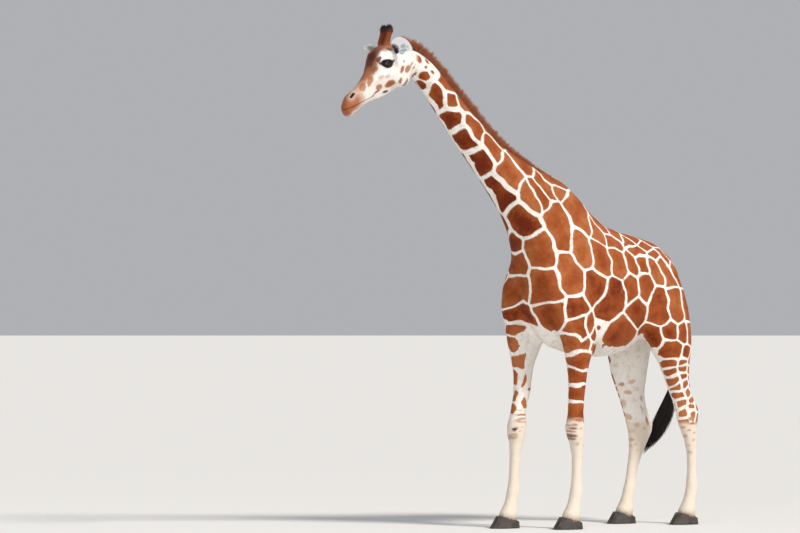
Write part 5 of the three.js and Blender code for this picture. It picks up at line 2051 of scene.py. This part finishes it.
turn = rng.uniform(0, math.pi, count)
across = np.stack([np.cos(turn), np.sin(turn), np.zeros(count)], axis=1)
unwrap = np.stack([0.02 + 0.96 * spin / (2 * math.pi), 0.02 + 0.96 * (from_height - 0.9) / 0.34], axis=1)
width = rng.uniform(0.002, 0.0036, count)
tassel = planted("tassel_strands", TASSEL_HAIR, tassel_path, across, width, 0.0018, unwrap, 4.0)
finished(tassel, TASSEL_HAIR, rng.normal(0.22, 0.12, count), 0.1, dark_hair)


def thinner_bundle(places):
    """The bundle's own shape, half as wide, and ending well above the longest hair."""
    x, y, _ = bundle_at(places[:, 2])
    across = (places - np.stack([x, y, places[:, 2]], axis=1)) * 0.6
    height = TASSEL_TOP - 0.01 - (TASSEL_TOP - places[:, 2]) * 0.8
    x, y, _ = bundle_at(height)
    across *= (0.5 + 0.5 * ramp(0, 0.13, TASSEL_TOP - height))[:, None]
    return np.stack([x, y, height], axis=1) + across


tassel_core = core_of("tassel_core", ["tail_tuft"], thinner_bundle, dark_hair, 0.05)
print("tassel strands:", count)

# %% [markdown]
# Horn tips carry a crown of stiff hair, black at the top and red-brown lower down. Its strands are planted on
# a core, which is the solid drawn in a little.

# %% Horn hair
BLACK_ABOVE = 3.772
HORN_TUFTS = ["ossicone_tuft_left", "ossicone_tuft_right"]


def drawn_in(places):
    result = places.copy()
    for side in BOTH:
        own = places[:, 1] * side > 0
        middle = (places[own].min(axis=0) + places[own].max(axis=0)) / 2
        result[own] = middle + (places[own] - middle) * 0.8 - (0, 0, 0.004)
    return result


horn_core = core_of("horn_hair_core", HORN_TUFTS, drawn_in, dark_hair, 0.15)
core_places = in_body(horn_core.data)
wavy_edge = BLACK_ABOVE + 0.005 * np.sin(core_places[:, 0] * 400)
core_shade = 0.95 - 0.85 * ramp(-0.012, 0.012, core_places[:, 2] - wavy_edge)
horn_core.data.attributes["shade"].data.foreach_set("value", core_shade.astype(np.float32))
count = 2600
roots, normals = roots_on(horn_core.data, np.ones(len(horn_core.data.vertices)), count)
direction = unit(np.array([0.05, 0, 1.0]) + normals * 0.42 + rng.normal(0, 0.12, (count, 3)))
lengths = rng.uniform(0.01, 0.026, count)
across = unit(np.cross(direction, rng.normal(0, 1, (count, 3))))
turn = round_the_line(roots, (-2.02, 0, 3.72), (0, 0, 1), (1, 0, 0))
horn_hair = planted(
    "horn_hair", SHORT_HAIR, lambda t: roots + direction * (lengths * t)[:, None], across,
    0.0018, 0.0012, in_tile(turn, 0, 0.12), 2.0,
)
strand_shade = 0.95 - 0.85 * ramp(3.762, 3.776, roots[:, 2] + rng.normal(0, 0.004, count))
finished(horn_hair, SHORT_HAIR, strand_shade, -0.1, dark_hair)
print("horn hairs:", len(roots))

# %% [markdown]
# The same planting serves the eyelashes, long on the upper lid and short on the lower one, and a few whiskers
# on the lips and chin. All of them droop a little, which a share of the square of t gives.

# %% Lashes and whiskers
UPPER_LASH = 0.026
LOWER_LASH = 0.01
WHISKERS = 44
lash_roots, lash_reach, lash_droop = [], [], []
for side in BOTH:
    outward, aft, up = eye_axes(side)
    upper = [(u, UPPER_LASH) for u in rng.uniform(0.1, 0.9, 110) * math.pi]
    lower = [(u, LOWER_LASH) for u in -rng.uniform(0.15, 0.85, 40) * math.pi]
    for u, size in upper + lower:
        edge = opening_edge(u)
        rooted_at = eye_direction(side, edge)
        away = unit(rooted_at * 0.75 + outward * 0.45 + aft * 0.25 * np.sign(edge[0]) + rng.normal(0, 0.06, 3))
        lash_roots.append(mirrored(EYE_CENTRE, side) + rooted_at * (EYE_RADIUS + 0.0008))
        lash_reach.append(away * size * rng.uniform(0.75, 1.1))
        lash_droop.append(-up * size * (0.35 if u > 0 else 0.05))
for u in rng.uniform(0, 1, WHISKERS):
    side = rng.choice(BOTH)
    spot = np.array([-2.4 + 0.13 * u, side * rng.uniform(0.012, 0.05), 3.15 + 0.05 * rng.uniform()])
    hit = skin_tree_now.find_nearest(BODY_ORIGIN + Vector(spot))
    lash_roots.append(np.array(hit[0] - BODY_ORIGIN))
    lash_reach.append((np.array(hit[1]) + (-0.2, 0, -0.3)) * rng.uniform(0.008, 0.017))
    lash_droop.append(np.array([0, 0, -0.003]))
lash_roots, lash_reach, lash_droop = (np.array(rows) for rows in (lash_roots, lash_reach, lash_droop))
count = len(lash_roots)
LASH = strand_shape(3)
lash_width = np.where(np.arange(count) < count - WHISKERS, 0.0011, 0.0006)
across = unit(np.cross(lash_reach, rng.normal(0, 1, (count, 3))))
lashes = planted(
    "lashes", LASH, lambda t: lash_roots + lash_reach * t + lash_droop * t * t, across,
    lash_width, lash_width, rng.uniform(0.05, 0.95, (count, 2)), 2.5,
)
finished(lashes, LASH, np.full(count, 0.1), 0, dark_hair)
print("lashes and whiskers:", count)

# %% [markdown]
# Every piece rides on the one body and takes the place of the solids that it covers.

# %% Bodies, solids and slots
SLOTS = {
    "coat": [skin, lid_piece, *coat_pieces],
    "eye": [eye_pieces],
    "hoof": [hooves],
    "mane_hair": [mane, mane_core],
    "black_hair": [margin_piece, tassel, tassel_core, horn_hair, horn_core, lashes],
}
for slot_name, pieces in SLOTS.items():
    for piece in pieces:
        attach(piece, "root")
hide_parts(*FLESH, "tail")
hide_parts(*(f"{part}_{side}" for part in ("ear", "ossicone") for side in SIDES))
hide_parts("eye_left", "eye_right")
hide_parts(*CLAWS)
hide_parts("mane")
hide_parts("tail_tuft")
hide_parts(*HORN_TUFTS)
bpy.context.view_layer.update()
